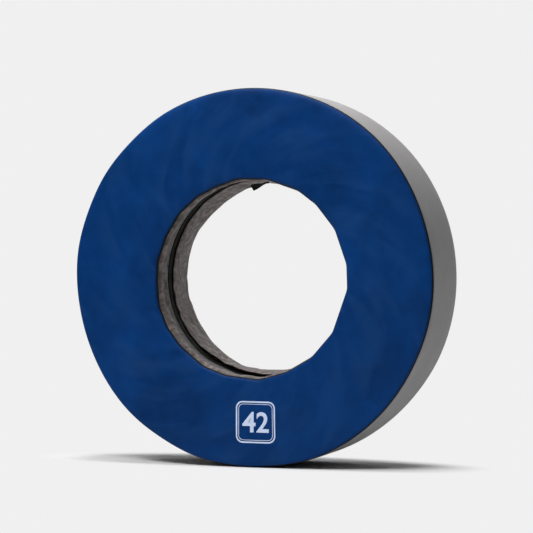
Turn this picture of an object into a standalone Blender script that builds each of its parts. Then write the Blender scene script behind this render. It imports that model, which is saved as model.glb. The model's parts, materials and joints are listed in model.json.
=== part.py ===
# A padded tackling wheel: three foam rings in a sewn vinyl cover that zips shut round the inside of its bore.
# Metres, +Z up. The wheel stands upright with its axis along Y, its marked face towards -Y, and the origin at
# its centre. Sections are drawn as (radius, y) points and turned round the Y axis.
import math

import bmesh
import bpy
from mathutils import Matrix, Vector

# Driving sizes of the wheel
outside_diameter = 1.067
bore_diameter = 0.566
overall_width = 0.254
slab_count = 3
segment_count = 48

# Driving sizes of the cover
vinyl_thickness = 0.0012
touch_gap = 0.0003
face_shoulder_drop = 0.0015
face_rise = 0.0375
face_shoulder_in = 0.0260
lining_shoulder_drop = 0.0002
edge_roll = 0.0160
seam_allowance = 0.0080

# Driving sizes of the seams. The cover has crept to the rear on its foam, so the front panel turns over the
# front corners before it is sewn, and the tread and the lining turn over the rear ones. Each pair says how far
# in from the tread or the bore a place is, and how far in from the face. Lips start next to the seam.
front_rim_seam_in = (0.0030, 0.0150)
front_bore_seam_in = (0.0075, 0.0135)
rear_seam_in = (0.0120, 0.0038)
front_rim_lip_in = ((0.0020, 0.0078), (0.0070, 0.0030))
front_bore_lip_in = ((0.0040, 0.0065), (0.0090, 0.0026))
rear_rim_lip_in = ((0.0055, 0.0020), (0.0018, 0.0070))
rear_bore_lip_in = ((0.0045, 0.0020), (0.0006, 0.0070))
front_lean_degrees = 20
rear_lean_degrees = 70

# Driving sizes of a welt: a strip of vinyl round a filler cord
welt_radius = 0.0030
welt_strip_thickness = 0.0009
welt_arc_degrees = 130
welt_arc_points = 5

# Driving sizes of the bore and its zip
zip_forward = 0.0220
zip_mouth = 0.0380
zip_start_segments = 1
hem_depth = 0.0010
hem_overlap = 0.0100
tape_thickness = 0.0008
row_width = 0.0044
row_thickness = 0.0036
row_slit = 0.0016
end_panel_segments = 3
stop_length = 0.0030
stop_thickness = 0.0016

# Driving sizes of the slider, its bridge, the pull and the tab
slider_length = 0.0260
slider_width = 0.0150
slider_nose_width = 0.0108
slider_nose_length = 0.0060
plate_thickness = 0.0016
flange_thickness = 0.0012
post_length = 0.0080
post_thickness = 0.0008
bridge_length = 0.0160
bridge_width = 0.0030
bridge_bar = 0.0014
bridge_leg = 0.0020
pull_length = 0.0240
pull_thickness = 0.0016
pull_bar = 0.0018
pull_play = 0.0004
pull_flare = 0.0070
pull_end_width = 0.0250
pull_slot = 0.0034
tab_length = 0.0520
tab_layer = 0.0012
tab_loop = 0.0030
tab_taper = 0.0035
pull_lean_degrees = 24
overrun = 0.0010
smooth_below_degrees = 35

# Sizes that follow from the driving ones
outer_radius = outside_diameter / 2
bore_radius = bore_diameter / 2
half_width = overall_width / 2
skin = vinyl_thickness + touch_gap
welt_reach = welt_radius + 2 * touch_gap
segment_angle = math.tau / segment_count
facet_stretch = 1 / math.cos(segment_angle / 2)

# The zip lies in one plane, in front of the wheel's middle. It starts just right of the bore's top facet.
zip_plane = -zip_forward
hem_radius = bore_radius + hem_depth
tape_radius = hem_radius + skin
row_middle = tape_radius + tape_thickness / 2
row_inner = row_middle - row_thickness / 2
row_outer = row_middle + row_thickness / 2
row_edge = row_slit / 2 + row_width
zip_end_angle = math.pi / 2 - segment_angle / 2 - zip_start_segments * segment_angle
zipped_segments = segment_count - end_panel_segments

# The slider's flat plates lie at these distances from the wheel's axis, clear of the rows' facets and corners
slider_half = slider_length / 2
bore_plate_face = math.sqrt((row_inner - touch_gap) ** 2 - slider_half**2)
bore_plate_back = bore_plate_face - plate_thickness
foam_plate_face = row_outer * facet_stretch + touch_gap
foam_plate_back = foam_plate_face + plate_thickness
hole_half = math.hypot(pull_bar / 2, pull_thickness / 2) + touch_gap
pull_axis_radius = bore_plate_back - hole_half
bridge_top = pull_axis_radius - hole_half - bridge_bar

# The foam starts where the slider's back clears it, and fills the cover from there
foam_bore = math.hypot(foam_plate_back, slider_half) + touch_gap
foam_outer = outer_radius - skin

# The stops lie on the rows' ends, and the slider rests against the first one
stop_face = (row_inner - stop_length * math.tan(segment_angle / 2)) * facet_stretch - touch_gap
stop_angle = (touch_gap + stop_length / 2) / row_inner
slider_angle = (stop_length + 3 * touch_gap) / row_inner + math.atan(slider_half / bore_plate_back)

# Colours, as 0 to 255 levels of red, green and blue, with roughness and metallic
finishes = {
    "blue_vinyl": ((14, 52, 103), 0.45, 0.0),
    "grey_vinyl": ((150, 147, 147), 0.50, 0.0),
    "lining_vinyl": ((118, 112, 112), 0.60, 0.0),
    "black_vinyl": ((22, 22, 24), 0.45, 0.0),
    "filler": ((205, 200, 190), 0.90, 0.0),
    "foam": ((226, 214, 168), 0.95, 0.0),
    "zip_tape": ((30, 28, 29), 0.85, 0.0),
    "zip_teeth": ((26, 25, 26), 0.40, 0.0),
    "zip_metal": ((34, 34, 36), 0.35, 0.8),
    "webbing": ((20, 20, 21), 0.80, 0.0),
}


def linear(level):
    """The linear value of a 0 to 255 colour level."""
    share = level / 255
    return share / 12.92 if share <= 0.04045 else ((share + 0.055) / 1.055) ** 2.4


def finish(name):
    """The material of that name, made on first use."""
    found = bpy.data.materials.get(name)
    if found:
        return found
    levels, roughness, metallic = finishes[name]
    made = bpy.data.materials.new(name)
    made.use_nodes = True
    shader = made.node_tree.nodes["Principled BSDF"]
    shader.inputs["Base Color"].default_value = (*[linear(level) for level in levels], 1)
    shader.inputs["Roughness"].default_value = roughness
    shader.inputs["Metallic"].default_value = metallic
    return made


def clear_scene():
    for old in list(bpy.data.objects):
        bpy.data.objects.remove(old, do_unlink=True)


def add_object(name, mesh_data, material):
    """Writes a closed mesh to a new smooth-shaded object."""
    bmesh.ops.recalc_face_normals(mesh_data, faces=mesh_data.faces)
    mesh = bpy.data.meshes.new(name)
    mesh_data.to_mesh(mesh)
    mesh_data.free()
    mesh.materials.append(finish(material))
    mesh.shade_smooth()
    mesh.set_sharp_from_angle(angle=math.radians(smooth_below_degrees))
    made = bpy.data.objects.new(name, mesh)
    bpy.context.scene.collection.objects.link(made)
    return made


def section_points(outline, angle):
    """The outline's (radius, y) points as places on the wheel at an angle from +X towards +Z."""
    return [
        (radius * facet_stretch * math.cos(angle), y, radius * facet_stretch * math.sin(angle))
        for radius, y in outline
    ]


def turn(name, outline, material, first=0, count=segment_count):
    """Turns a closed outline through whole segments, from the zip's end round by way of the left side.

    Facets lie at the radii given, so the corners between them stand a little further out. A part of a ring
    stops just short of its last corners, clear of what continues it.
    """
    mesh = bmesh.new()
    start = zip_end_angle + first * segment_angle
    corners = [mesh.verts.new(place) for place in section_points(outline, start)]
    whole = count == segment_count
    if whole:
        profile = [mesh.edges.new(pair) for pair in zip(corners, corners[1:] + corners[:1])]
    else:
        profile = [mesh.faces.new(corners)]
    spun = bmesh.ops.spin(
        mesh,
        geom=corners + profile,
        axis=(0, -1, 0),
        cent=(0, 0, 0),
        angle=count * segment_angle,
        steps=count,
        use_merge=whole,
    )
    if not whole:
        trim = touch_gap / 2 / bore_radius
        last = [item for item in spun["geom_last"] if isinstance(item, bmesh.types.BMVert)]
        for verts, angle in ((corners, trim), (last, -trim)):
            bmesh.ops.rotate(mesh, verts=verts, cent=(0, 0, 0), matrix=Matrix.Rotation(angle, 3, (0, -1, 0)))
    return add_object(name, mesh, material)


def extrude(name, outline, low, high, material, plane="XY"):
    """Extrudes an outline that lies in a plane, such as XY, from low to high along the third axis."""
    first, second = ("XYZ".index(letter) for letter in plane)
    third = 3 - first - second
    mesh = bmesh.new()
    corners = []
    for across, up in outline:
        place = Vector((0, 0, 0))
        place[first] = across
        place[second] = up
        place[third] = low
        corners.append(mesh.verts.new(place))
    base = mesh.faces.new(corners)
    grown = bmesh.ops.extrude_face_region(mesh, geom=[base])
    step = Vector((0, 0, 0))
    step[third] = high - low
    moved = [item for item in grown["geom"] if isinstance(item, bmesh.types.BMVert)]
    bmesh.ops.translate(mesh, verts=moved, vec=step)
    return add_object(name, mesh, material)


def rectangle(left, right, bottom, top):
    return [(left, bottom), (right, bottom), (right, top), (left, top)]


def combine(main, others, operation):
    """Joins the others to main, or cuts them from it. They stay as hidden guides."""
    for other in others:
        change = main.modifiers.new(other.name, "BOOLEAN")
        change.operation = operation
        change.solver = "EXACT"
        change.object = other
        other.hide_render = True
        other.display_type = "WIRE"
    return main


def offset_left(path, distance):
    """The open path moved to its left, with mitred corners."""
    points = [Vector(point) for point in path]
    headings = [(after - before).normalized() for before, after in zip(points, points[1:])]
    lefts = [Vector((-heading.y, heading.x)) for heading in headings]
    moved = [points[0] + lefts[0] * distance]
    for point, before, after in zip(points[1:], lefts, lefts[1:]):
        middle = (before + after).normalized()
        moved.append(point + middle * distance / middle.dot(before))
    moved.append(points[-1] + lefts[-1] * distance)
    return [tuple(point) for point in moved]


def sheet(path, thickness):
    """The section of a sheet whose outer surface follows the path, with its thickness on the path's left."""
    return list(path) + offset_left(path, thickness)[::-1]


def mirrored(outline):
    """The same section at the rear of the wheel."""
    return [(radius, -y) for radius, y in outline][::-1]


# At each corner of the section a welt is sewn between two sheets. A seam is whether it is at the rim, how far
# in it lies, and how many degrees its way into the foam leans from the radius towards the wheel's middle.
rim_front = (True, front_rim_seam_in, front_lean_degrees)
bore_front = (False, front_bore_seam_in, front_lean_degrees)
rim_rear = (True, rear_seam_in, rear_lean_degrees)
bore_rear = (False, rear_seam_in, rear_lean_degrees)


def corner_spot(at_rim, inset):
    """The front place that far in from the tread or the bore, and from the face."""
    from_round, from_face = inset
    radius = outer_radius - from_round if at_rim else bore_radius + from_round
    return (radius, from_face - half_width)


def seam_spot(seam, depth, side):
    """A place by a seam: its depth into the foam from the welt, and its way to the tread or lining."""
    at_rim, inset, lean = seam
    radius, y = corner_spot(at_rim, inset)
    inward = -1 if at_rim else 1
    level = math.cos(math.radians(lean))
    rise = math.sin(math.radians(lean))
    return (radius + inward * (level * depth - rise * side), y + rise * depth + level * side)


def welt_turn(share):
    """Depth and side of the welt's outer surface. The share runs from -1 to 1 over its arc."""
    angle = math.radians(welt_arc_degrees) * share
    return -math.cos(angle), math.sin(angle)


def sewn_edge(seam, side):
    """The edge of a sheet at a seam: its allowance, the seam's mouth and the welt's flank."""
    depth, across = welt_turn(1)
    return [
        seam_spot(seam, seam_allowance, side * touch_gap / 2),
        seam_spot(seam, welt_reach * depth + touch_gap, side * touch_gap / 2),
        seam_spot(seam, welt_reach * depth, side * welt_reach * across),
    ]


def turned_edge(seam, side, lips):
    """The edge of a sheet that turns over the wheel's corner and comes back to the seam."""
    beside = seam_spot(seam, 0, side * welt_reach)
    return [*sewn_edge(seam, side), beside, *(corner_spot(seam[0], lip) for lip in lips)]


def face_path(bore_edge, rim_edge):
    """The outer surface of a face at the front, crowned between its two shoulders."""
    inner = bore_radius + face_shoulder_in
    outer = outer_radius - face_shoulder_in
    return [
        *bore_edge,
        (inner, face_shoulder_drop - half_width),
        (inner + face_rise, -half_width),
        (outer - face_rise, -half_width),
        (outer, face_shoulder_drop - half_width),
        *rim_edge[::-1],
    ]


def round_path(front_edge, rear_edge, front_shoulder, rear_shoulder):
    """The tread's or the lining's outer surface from its front seam to its rear one."""
    rear = [*rear_edge, rear_shoulder]
    return [*front_edge, front_shoulder, *mirrored(rear)]


def rolled(radius, corner):
    """The shoulder at a radius where a sheet has rolled down from a place near a corner."""
    return (radius, corner[1] + edge_roll)


front_face = face_path(
    turned_edge(bore_front, -1, front_bore_lip_in),
    turned_edge(rim_front, -1, front_rim_lip_in),
)
rear_face = face_path(sewn_edge(bore_rear, -1), sewn_edge(rim_rear, -1))
tread_path = round_path(
    sewn_edge(rim_front, 1),
    turned_edge(rim_rear, 1, rear_rim_lip_in),
    rolled(outer_radius, corner_spot(True, front_rim_seam_in)),
    rolled(outer_radius, corner_spot(True, rear_rim_lip_in[-1])),
)


def make_panels():
    """The two vinyl faces, crowned between their rolled edges."""
    turn("front_panel", sheet(front_face, vinyl_thickness), "blue_vinyl")
    turn("rear_panel", mirrored(sheet(rear_face, vinyl_thickness)), "blue_vinyl")


def make_tread():
    """The strip round the outside, straight across its middle and rolled down to both welts."""
    turn("tread_band", sheet(tread_path, vinyl_thickness), "grey_vinyl")


def make_lining():
    """The two strips inside the bore. Each ends in a hem on the zip's tape."""
    shoulder_radius = bore_radius + lining_shoulder_drop
    front_shoulder = rolled(shoulder_radius, corner_spot(False, front_bore_seam_in))
    rear_shoulder = rolled(shoulder_radius, corner_spot(False, rear_bore_lip_in[-1]))
    lining = round_path(
        sewn_edge(bore_front, 1),
        turned_edge(bore_rear, 1, rear_bore_lip_in),
        front_shoulder,
        rear_shoulder,
    )
    split = lining.index(front_shoulder) + 1
    front_hem = zip_plane - zip_mouth / 2
    rear_hem = zip_plane + zip_mouth / 2
    front_middle = (bore_radius, (front_hem + front_shoulder[1]) / 2)
    rear_middle = (bore_radius, (rear_hem - rear_shoulder[1]) / 2)
    front_path = [*lining[:split], front_middle, (hem_radius, front_hem)]
    rear_path = [(hem_radius, rear_hem), rear_middle, *lining[split:]]
    for end, path in (("front", front_path), ("rear", rear_path)):
        turn(f"bore_band_{end}", sheet(path[::-1], vinyl_thickness), "lining_vinyl")


def welt_arc(seam, radius, shares):
    """Points of a welt's section at a radius from its middle."""
    turns = [welt_turn(share) for share in shares]
    return [seam_spot(seam, radius * depth, radius * across) for depth, across in turns]


def make_welts():
    """Piping at the four corners: a strip that is open towards the foam, round a filler cord."""
    last = welt_arc_points - 1
    shares = [1 - 2 * step / last for step in range(welt_arc_points)]
    strip_inside = welt_radius - welt_strip_thickness
    seams = {"outer": (rim_front, rim_rear), "bore": (bore_front, bore_rear)}
    for place, (front, rear) in seams.items():
        for end, seam in (("front", front), ("rear", rear)):
            strip = welt_arc(seam, welt_radius, shares) + welt_arc(seam, strip_inside, shares[::-1])
            filler = welt_arc(seam, strip_inside - touch_gap, shares)
            if end == "rear":
                strip = mirrored(strip)
                filler = mirrored(filler)
            turn(f"{place}_welt_{end}", strip, "black_vinyl")
            turn(f"{place}_filler_{end}", filler, "filler")


def inside(path):
    """The foam's surface under a sheet, between the sheet's seams."""
    return offset_left(path[1:-1], skin)[1:-1]


def groove(seam):
    """The cut in the foam that takes a seam's two allowances, from the panel's side to the other."""
    wall = touch_gap / 2 + skin
    start = welt_reach * welt_turn(1)[0] + touch_gap + skin + touch_gap
    end = seam_allowance + touch_gap
    corners = rectangle(start, end, -wall, wall)
    return [seam_spot(seam, depth, side) for depth, side in corners]


def foam_section(face, bore_seam, rim_seam, tread, joint):
    """The front foam ring's section: under the face, cut for both seams, and under the tread."""
    return [
        (foam_bore, joint),
        rolled(foam_bore, seam_spot(bore_seam, 0, 0)),
        *groove(bore_seam)[::-1],
        *face,
        *groove(rim_seam),
        *tread,
        (foam_outer, joint),
    ]


def make_foam():
    """Three rings of foam, glued face to face. The outer two are cut for the seams."""
    crown = -half_width + skin
    slab = (2 * -crown - (slab_count - 1) * touch_gap) / slab_count
    joint = crown + slab
    under_tread = inside(tread_path)
    under_roll = under_tread[:2]
    under_turn = mirrored(under_tread[2:])
    under_face = inside(front_face)
    del under_face[1:3]
    front = foam_section(under_face, bore_front, rim_front, under_roll, joint)
    rear = foam_section(inside(rear_face), bore_rear, rim_rear, under_turn, joint)
    turn("foam_slab_front", front, "foam")
    turn("foam_slab_rear", mirrored(rear), "foam")
    turn("foam_slab_middle", rectangle(foam_bore, foam_outer, joint + touch_gap, -joint - touch_gap), "foam")


def make_zip():
    """Tapes and rows of teeth round the bore, and the panel that fills the stretch between their ends."""
    tape_low = row_edge + touch_gap
    tape_high = zip_mouth / 2 + hem_overlap
    for end, side in (("front", -1), ("rear", 1)):
        tape_edges = sorted((zip_plane + side * tape_low, zip_plane + side * tape_high))
        row_edges = sorted((zip_plane + side * row_slit / 2, zip_plane + side * row_edge))
        tape = rectangle(tape_radius, tape_radius + tape_thickness, *tape_edges)
        row = rectangle(row_inner, row_outer, *row_edges)
        turn(f"zip_tape_{end}", tape, "zip_tape", count=zipped_segments)
        turn(f"zip_teeth_{end}", row, "zip_teeth", count=zipped_segments)
    panel = rectangle(
        tape_radius, tape_radius + vinyl_thickness, zip_plane - tape_high, zip_plane + tape_high
    )
    turn("zip_end_panel", panel, "lining_vinyl", first=zipped_segments, count=end_panel_segments)


def bore_frame(angle):
    """Turns X to the way the zip opens at an angle round the bore, and Z to the wheel's axis."""
    return Matrix.Rotation(-angle - math.pi / 2, 4, "Y")


def make_stops():
    """A small clip across both rows at each end of the zip."""
    far_end = zip_end_angle + zipped_segments * segment_angle
    size = Matrix.Diagonal((stop_length, 2 * row_edge, stop_thickness, 1))
    place = Matrix.Translation((0, zip_plane, stop_thickness / 2 - stop_face))
    for end, angle in (("closed", zip_end_angle + stop_angle), ("open", far_end - stop_angle)):
        mesh = bmesh.new()
        bmesh.ops.create_cube(mesh, size=1, matrix=bore_frame(angle) @ place @ size)
        add_object(f"zip_stop_{end}", mesh, "zip_metal")


def carrier(name, parent=None):
    """An empty on a joint's axis, which carries what moves with it."""
    made = bpy.data.objects.new(name, None)
    made.parent = parent
    bpy.context.scene.collection.objects.link(made)
    return made


def make_slider(travel):
    """Two plates joined by a post between the rows, with flanges over the tapes and a bridge for the pull.

    Heights are negative distances from the wheel's axis, so that they rise from the foam into the bore.
    """
    wide = slider_width / 2
    nose = slider_nose_width / 2
    nose_start = slider_half - slider_nose_length
    plate = [(-slider_half, -wide), (nose_start, -wide), (slider_half, -nose)]
    plate += [(across, -side) for across, side in plate[::-1]]
    tape_face = math.sqrt((tape_radius - touch_gap) ** 2 - slider_half**2)
    tape_back = (tape_radius + tape_thickness) * facet_stretch + touch_gap
    slider = extrude("zip_slider", plate, -bore_plate_face, -bore_plate_back, "zip_metal")
    others = [extrude("slider_foam_plate", plate, -foam_plate_back, -foam_plate_face, "zip_metal")]
    post = rectangle(-slider_half, post_length - slider_half, -post_thickness / 2, post_thickness / 2)
    post_low = -foam_plate_face - plate_thickness / 2
    post_high = -bore_plate_face + plate_thickness / 2
    others.append(extrude("slider_post", post, post_low, post_high, "zip_metal"))
    for side in (-1, 1):
        edges = sorted((side * wide, side * (wide - flange_thickness)))
        strip = rectangle(-slider_half, nose_start, *edges)
        others.append(extrude("bore_flange", strip, -tape_face, post_high, "zip_metal"))
        others.append(extrude("foam_flange", strip, post_low, -tape_back, "zip_metal"))
    arch = rectangle(-bridge_length / 2, bridge_length / 2, post_high, -bridge_top)
    hole_end = bridge_length / 2 - bridge_leg
    hole = rectangle(-hole_end, hole_end, -bore_plate_back, -bridge_top - bridge_bar)
    bridge = extrude("slider_bridge", arch, -bridge_width / 2, bridge_width / 2, "zip_metal", "XZ")
    opening = extrude(
        "bridge_opening", hole, -bridge_width / 2 - overrun, bridge_width / 2 + overrun, "zip_metal", "XZ"
    )
    combine(slider, [*others, bridge], "UNION")
    combine(slider, [opening], "DIFFERENCE")
    for piece in (slider, *others, bridge, opening):
        piece.parent = travel
        piece.location.y = zip_plane
    return slider


def make_pull(hinge):
    """A flat link that widens from its bar in the bridge to a slot for the tab. It points along X."""
    window_side = bridge_width / 2 + pull_play
    window_end = math.hypot(bridge_length / 2, hole_half + bridge_bar) + touch_gap
    neck = window_side + pull_bar
    wide = pull_end_width / 2
    slot_end = pull_length - pull_bar
    outline = [(-pull_bar / 2, -neck), (window_end, -neck)]
    outline += [(window_end + pull_flare, -wide), (pull_length, -wide)]
    outline += [(along, -side) for along, side in outline[::-1]]
    low = -pull_thickness / 2
    high = pull_thickness / 2
    pull = extrude("zip_pull", outline, low, high, "zip_metal")
    window = rectangle(pull_bar / 2, window_end, -window_side, window_side)
    slot = rectangle(slot_end - pull_slot, slot_end, pull_bar - wide, wide - pull_bar)
    cutters = [
        extrude("pull_window", window, low - overrun, high + overrun, "zip_metal"),
        extrude("pull_slot", slot, low - overrun, high + overrun, "zip_metal"),
    ]
    combine(pull, cutters, "DIFFERENCE")
    for piece in (pull, *cutters):
        piece.parent = hinge
    return pull


def make_tab(hinge):
    """A folded strip of webbing through the pull's slot, open where it goes round the end bar."""
    half_width_of_tab = pull_end_width / 2 - pull_bar - touch_gap
    bar_start = pull_length - pull_bar
    loop_inside = pull_thickness / 2 + touch_gap
    hole_start = bar_start - touch_gap
    hole_end = pull_length + touch_gap
    start = hole_start - tab_layer
    side = [
        (start, loop_inside),
        (hole_start, loop_inside + tab_layer),
        (start + tab_loop + pull_bar, loop_inside + tab_layer),
        (start + tab_loop + pull_bar + tab_taper, tab_layer),
        (start + tab_length, tab_layer),
    ]
    outline = side + [(along, -height) for along, height in side[::-1]]
    hole = [
        (hole_start, loop_inside),
        (hole_end, loop_inside),
        (hole_end + tab_taper / 2, 0),
        (hole_end, -loop_inside),
        (hole_start, -loop_inside),
    ]
    tab = extrude("pull_tab", outline, -half_width_of_tab, half_width_of_tab, "webbing", "XZ")
    eye = extrude(
        "tab_eye", hole, -half_width_of_tab - overrun, half_width_of_tab + overrun, "webbing", "XZ"
    )
    combine(tab, [eye], "DIFFERENCE")
    for piece in (tab, eye):
        piece.parent = hinge
    return tab


clear_scene()
make_foam()
make_panels()
make_tread()
make_lining()
make_welts()
make_zip()
make_stops()

# The slider turns about the wheel's axis, and the pull about its bar, which moves with the slider
slider_travel = carrier("slider_travel")
slider_travel.matrix_local = bore_frame(zip_end_angle + slider_angle)
pull_hinge = carrier("pull_hinge", slider_travel)
pull_hinge.location = (0, zip_plane, -pull_axis_radius)
pull_hinge.rotation_euler = (0, -math.radians(pull_lean_degrees), 0)
make_slider(slider_travel)
make_pull(pull_hinge)
make_tab(pull_hinge)
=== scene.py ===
# %% [markdown]
# # A padded tackling wheel, dressed
# A tackling wheel is a ring of firm foam in a sewn vinyl cover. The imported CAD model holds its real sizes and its
# moving zip. This notebook loads that model as a fixed frame and gives each piece the shape, finish and small
# irregularities of the real thing.

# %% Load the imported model
import json
import math
from contextlib import contextmanager

import bmesh
import bpy
import numpy as np
from mathutils import Matrix, Vector
from mathutils.bvhtree import BVHTree


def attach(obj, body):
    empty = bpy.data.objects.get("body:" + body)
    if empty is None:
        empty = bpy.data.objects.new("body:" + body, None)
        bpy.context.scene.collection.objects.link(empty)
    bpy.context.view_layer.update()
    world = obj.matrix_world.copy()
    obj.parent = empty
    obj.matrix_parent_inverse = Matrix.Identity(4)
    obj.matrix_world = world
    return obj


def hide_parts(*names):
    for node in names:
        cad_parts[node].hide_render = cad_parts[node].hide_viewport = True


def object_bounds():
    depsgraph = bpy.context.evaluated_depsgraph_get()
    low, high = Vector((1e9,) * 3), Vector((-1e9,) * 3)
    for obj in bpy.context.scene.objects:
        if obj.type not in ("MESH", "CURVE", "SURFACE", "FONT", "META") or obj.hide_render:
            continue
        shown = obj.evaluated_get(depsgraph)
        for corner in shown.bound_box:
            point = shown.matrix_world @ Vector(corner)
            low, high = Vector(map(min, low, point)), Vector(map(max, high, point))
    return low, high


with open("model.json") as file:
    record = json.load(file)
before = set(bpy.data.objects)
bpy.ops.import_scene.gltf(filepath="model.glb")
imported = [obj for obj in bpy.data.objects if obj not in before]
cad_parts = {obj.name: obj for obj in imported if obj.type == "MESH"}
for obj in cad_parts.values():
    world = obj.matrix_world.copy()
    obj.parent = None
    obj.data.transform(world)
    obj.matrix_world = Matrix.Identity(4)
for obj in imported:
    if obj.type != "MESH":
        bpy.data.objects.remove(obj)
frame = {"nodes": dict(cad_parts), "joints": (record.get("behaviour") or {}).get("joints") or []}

cad_low, cad_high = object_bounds()
print("CAD box from", [round(value, 4) for value in cad_low], "to", [round(value, 4) for value in cad_high])

# %% [markdown]
# ## Sizes come from the frame
# Every ring of the CAD model is a turned section with 48 flat facets. Its vertices lie at the facets' corners, a
# little further out than the facets' middles, so a ring's nominal radius is the corner radius divided by that
# stretch. Reading sizes this way means that the dressed wheel follows the frame if the frame changes.

# %% Read the rings
cad_facets = 48
facet_stretch = 1 / math.cos(math.pi / cad_facets)


def node_places(node):
    """The places of a CAD node's vertices."""
    return np.array([vertex.co for vertex in frame["nodes"][node].data.vertices])


def node_section(node):
    """Nominal radius and y of each vertex of a CAD ring."""
    places = node_places(node)
    return np.hypot(places[:, 0], places[:, 2]) / facet_stretch, places[:, 1]


def ring_size(node):
    """Inner radius, outer radius, lowest y and highest y of a CAD ring."""
    return [float(value) for part in node_section(node) for value in (part.min(), part.max())]


outer_radius = ring_size("tread_band")[1]
half_width = ring_size("rear_panel")[3]
bore_radius, _, _, front_hem = ring_size("bore_band_front")
rear_hem = ring_size("bore_band_rear")[2]
tape_inner, tape_outer, front_tape_edge, _ = ring_size("zip_tape_front")
rear_tape_edge = ring_size("zip_tape_rear")[3]
row_inner, row_outer, row_edge, _ = ring_size("zip_teeth_front")
foam_bore, foam_outer, _, _ = ring_size("foam_slab_middle")
zip_plane = (front_hem + rear_hem) / 2
row_reach = abs(row_edge - zip_plane)
print("outside", outer_radius, "bore", bore_radius, "half width", half_width, "zip at y", round(zip_plane, 4))

# %% [markdown]
# ## Helpers for objects
# A few short functions make the objects, open their meshes for changes, aim them and add their modifiers, so that
# each later step says only what is particular to it.

# %% Make objects and modifiers
def add_object(name, data):
    """A new object in the scene."""
    made = bpy.data.objects.new(name, data)
    bpy.context.scene.collection.objects.link(made)
    return made


@contextmanager
def edited(mesh):
    """A mesh opened for changes, which are written back at the end."""
    data = bmesh.new()
    data.from_mesh(mesh)
    yield data
    data.to_mesh(mesh)
    data.free()


def aim(made, place, towards):
    """Puts a lamp or camera at a place and points it in a direction."""
    made.location = place
    made.rotation_mode = "QUATERNION"
    made.rotation_quaternion = towards.to_track_quat("-Z", "Y")


def set_all(target, **settings):
    for name, value in settings.items():
        setattr(target, name, value)


def add_modifier(piece, name, kind, **settings):
    made = piece.modifiers.new(name, kind)
    set_all(made, **settings)
    return made


print("object helpers are ready")

# %% [markdown]
# ## The camera
# The photograph looks at the wheel from a little to its right and almost level with its middle. A long lens gives
# the weak perspective. The camera's place is a direction and a distance, as a photographer would give it.

# %% Place the camera
photo_side = 533
camera_azimuth = math.radians(19.95)
camera_elevation = math.radians(0.66)
camera_distance = 6.530
camera_shift_right = 0.0045
camera_shift_up = 0.0314
focal_pixels = 2280


def set_up_camera():
    azimuth, elevation = camera_azimuth, camera_elevation
    back = Vector((
        math.sin(azimuth) * math.cos(elevation),
        -math.cos(azimuth) * math.cos(elevation),
        math.sin(elevation),
    ))
    right = Vector((math.cos(azimuth), math.sin(azimuth), 0))
    lens = bpy.data.cameras.new("camera")
    lens.lens = focal_pixels / photo_side * lens.sensor_width
    lens.clip_end = 100
    camera = add_object("camera", lens)
    aim(camera, back * camera_distance + right * camera_shift_right + back.cross(right) * camera_shift_up, -back)
    bpy.context.scene.camera = camera
    return camera


camera = set_up_camera()
print("camera at", [round(value, 3) for value in camera.location], "lens", round(camera.data.lens, 1), "mm")

# %% [markdown]
# ## Node helpers
# Materials here are procedural: patterns are worked out from the place of a point, so there are no picture files.
# One small function adds a node, sets its inputs and links what is handed over as a socket. It keeps each material
# short enough to read as a recipe.

# %% Add nodes by recipe
def add_node(tree, kind, inputs=None, **settings):
    """Adds a node. A socket among the inputs is linked, and any other value is set."""
    made = tree.nodes.new(kind)
    for name, value in settings.items():
        setattr(made, name, value)
    for name, value in (inputs or {}).items():
        socket = made.inputs[name]
        if isinstance(value, bpy.types.NodeSocket):
            tree.links.new(value, socket)
        else:
            socket.default_value = value
    return made


def level(red, green, blue):
    """A linear colour from 0 to 255 levels, as a colour picker shows them."""
    shares = [value / 255 for value in (red, green, blue)]
    return (*[s / 12.92 if s <= 0.04045 else ((s + 0.055) / 1.055) ** 2.4 for s in shares], 1)


def noise(tree, place, scale, detail=2, roughness=0.5, distortion=0):
    """A noise value from 0 to 1 at a place."""
    inputs = {"Vector": place, "Scale": scale, "Detail": detail, "Roughness": roughness, "Distortion": distortion}
    return add_node(tree, "ShaderNodeTexNoise", inputs).outputs[0]


def add_material(name):
    """A new material, its node tree and its Principled shader."""
    material = bpy.data.materials.new(name)
    material.use_nodes = True
    return material, material.node_tree, material.node_tree.nodes["Principled BSDF"]


def stretched(tree, value, low, high, to_low=0, to_high=1, smooth=False):
    """A value mapped from one range to another and held there."""
    style = "SMOOTHSTEP" if smooth else "LINEAR"
    inputs = {"Value": value, "From Min": low, "From Max": high, "To Min": to_low, "To Max": to_high}
    return add_node(tree, "ShaderNodeMapRange", inputs, interpolation_type=style).outputs[0]


def calculate(tree, operation, first, second=0.0):
    return add_node(tree, "ShaderNodeMath", {0: first, 1: second}, operation=operation).outputs[0]


def times(tree, first, second):
    return calculate(tree, "MULTIPLY", first, second)


def plus(tree, first, second):
    return calculate(tree, "ADD", first, second)


def vector_math(tree, operation, first, second=(0, 0, 0), output="Vector"):
    inputs = {0: first, 1: second}
    return add_node(tree, "ShaderNodeVectorMath", inputs, operation=operation).outputs[output]


def texture_place(tree, kind="Object"):
    return add_node(tree, "ShaderNodeTexCoord").outputs[kind]


def mixed(tree, factor, first, second):
    """Two colours mixed. Inputs 0, 6 and 7 of the node are its factor and its colours."""
    return add_node(tree, "ShaderNodeMix", {0: factor, 6: first, 7: second}, data_type="RGBA").outputs[2]


print("node helpers are ready")

# %% [markdown]
# ## Light and floor
# A studio sweep fills the photograph's background. The world shows that pale colour to the camera, and to gloss
# only behind the wheel, because a real studio is dark behind the camera and that is what keeps the blue deep. The
# floor is a plain pale disc that fades into the background away from the wheel's shadow.

# %% Light the studio
backdrop_colour = level(240, 240, 240)
front_ambient = 0.09
rear_ambient = 0.15
right_share = 0.2
floor_level = cad_low.z


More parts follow.
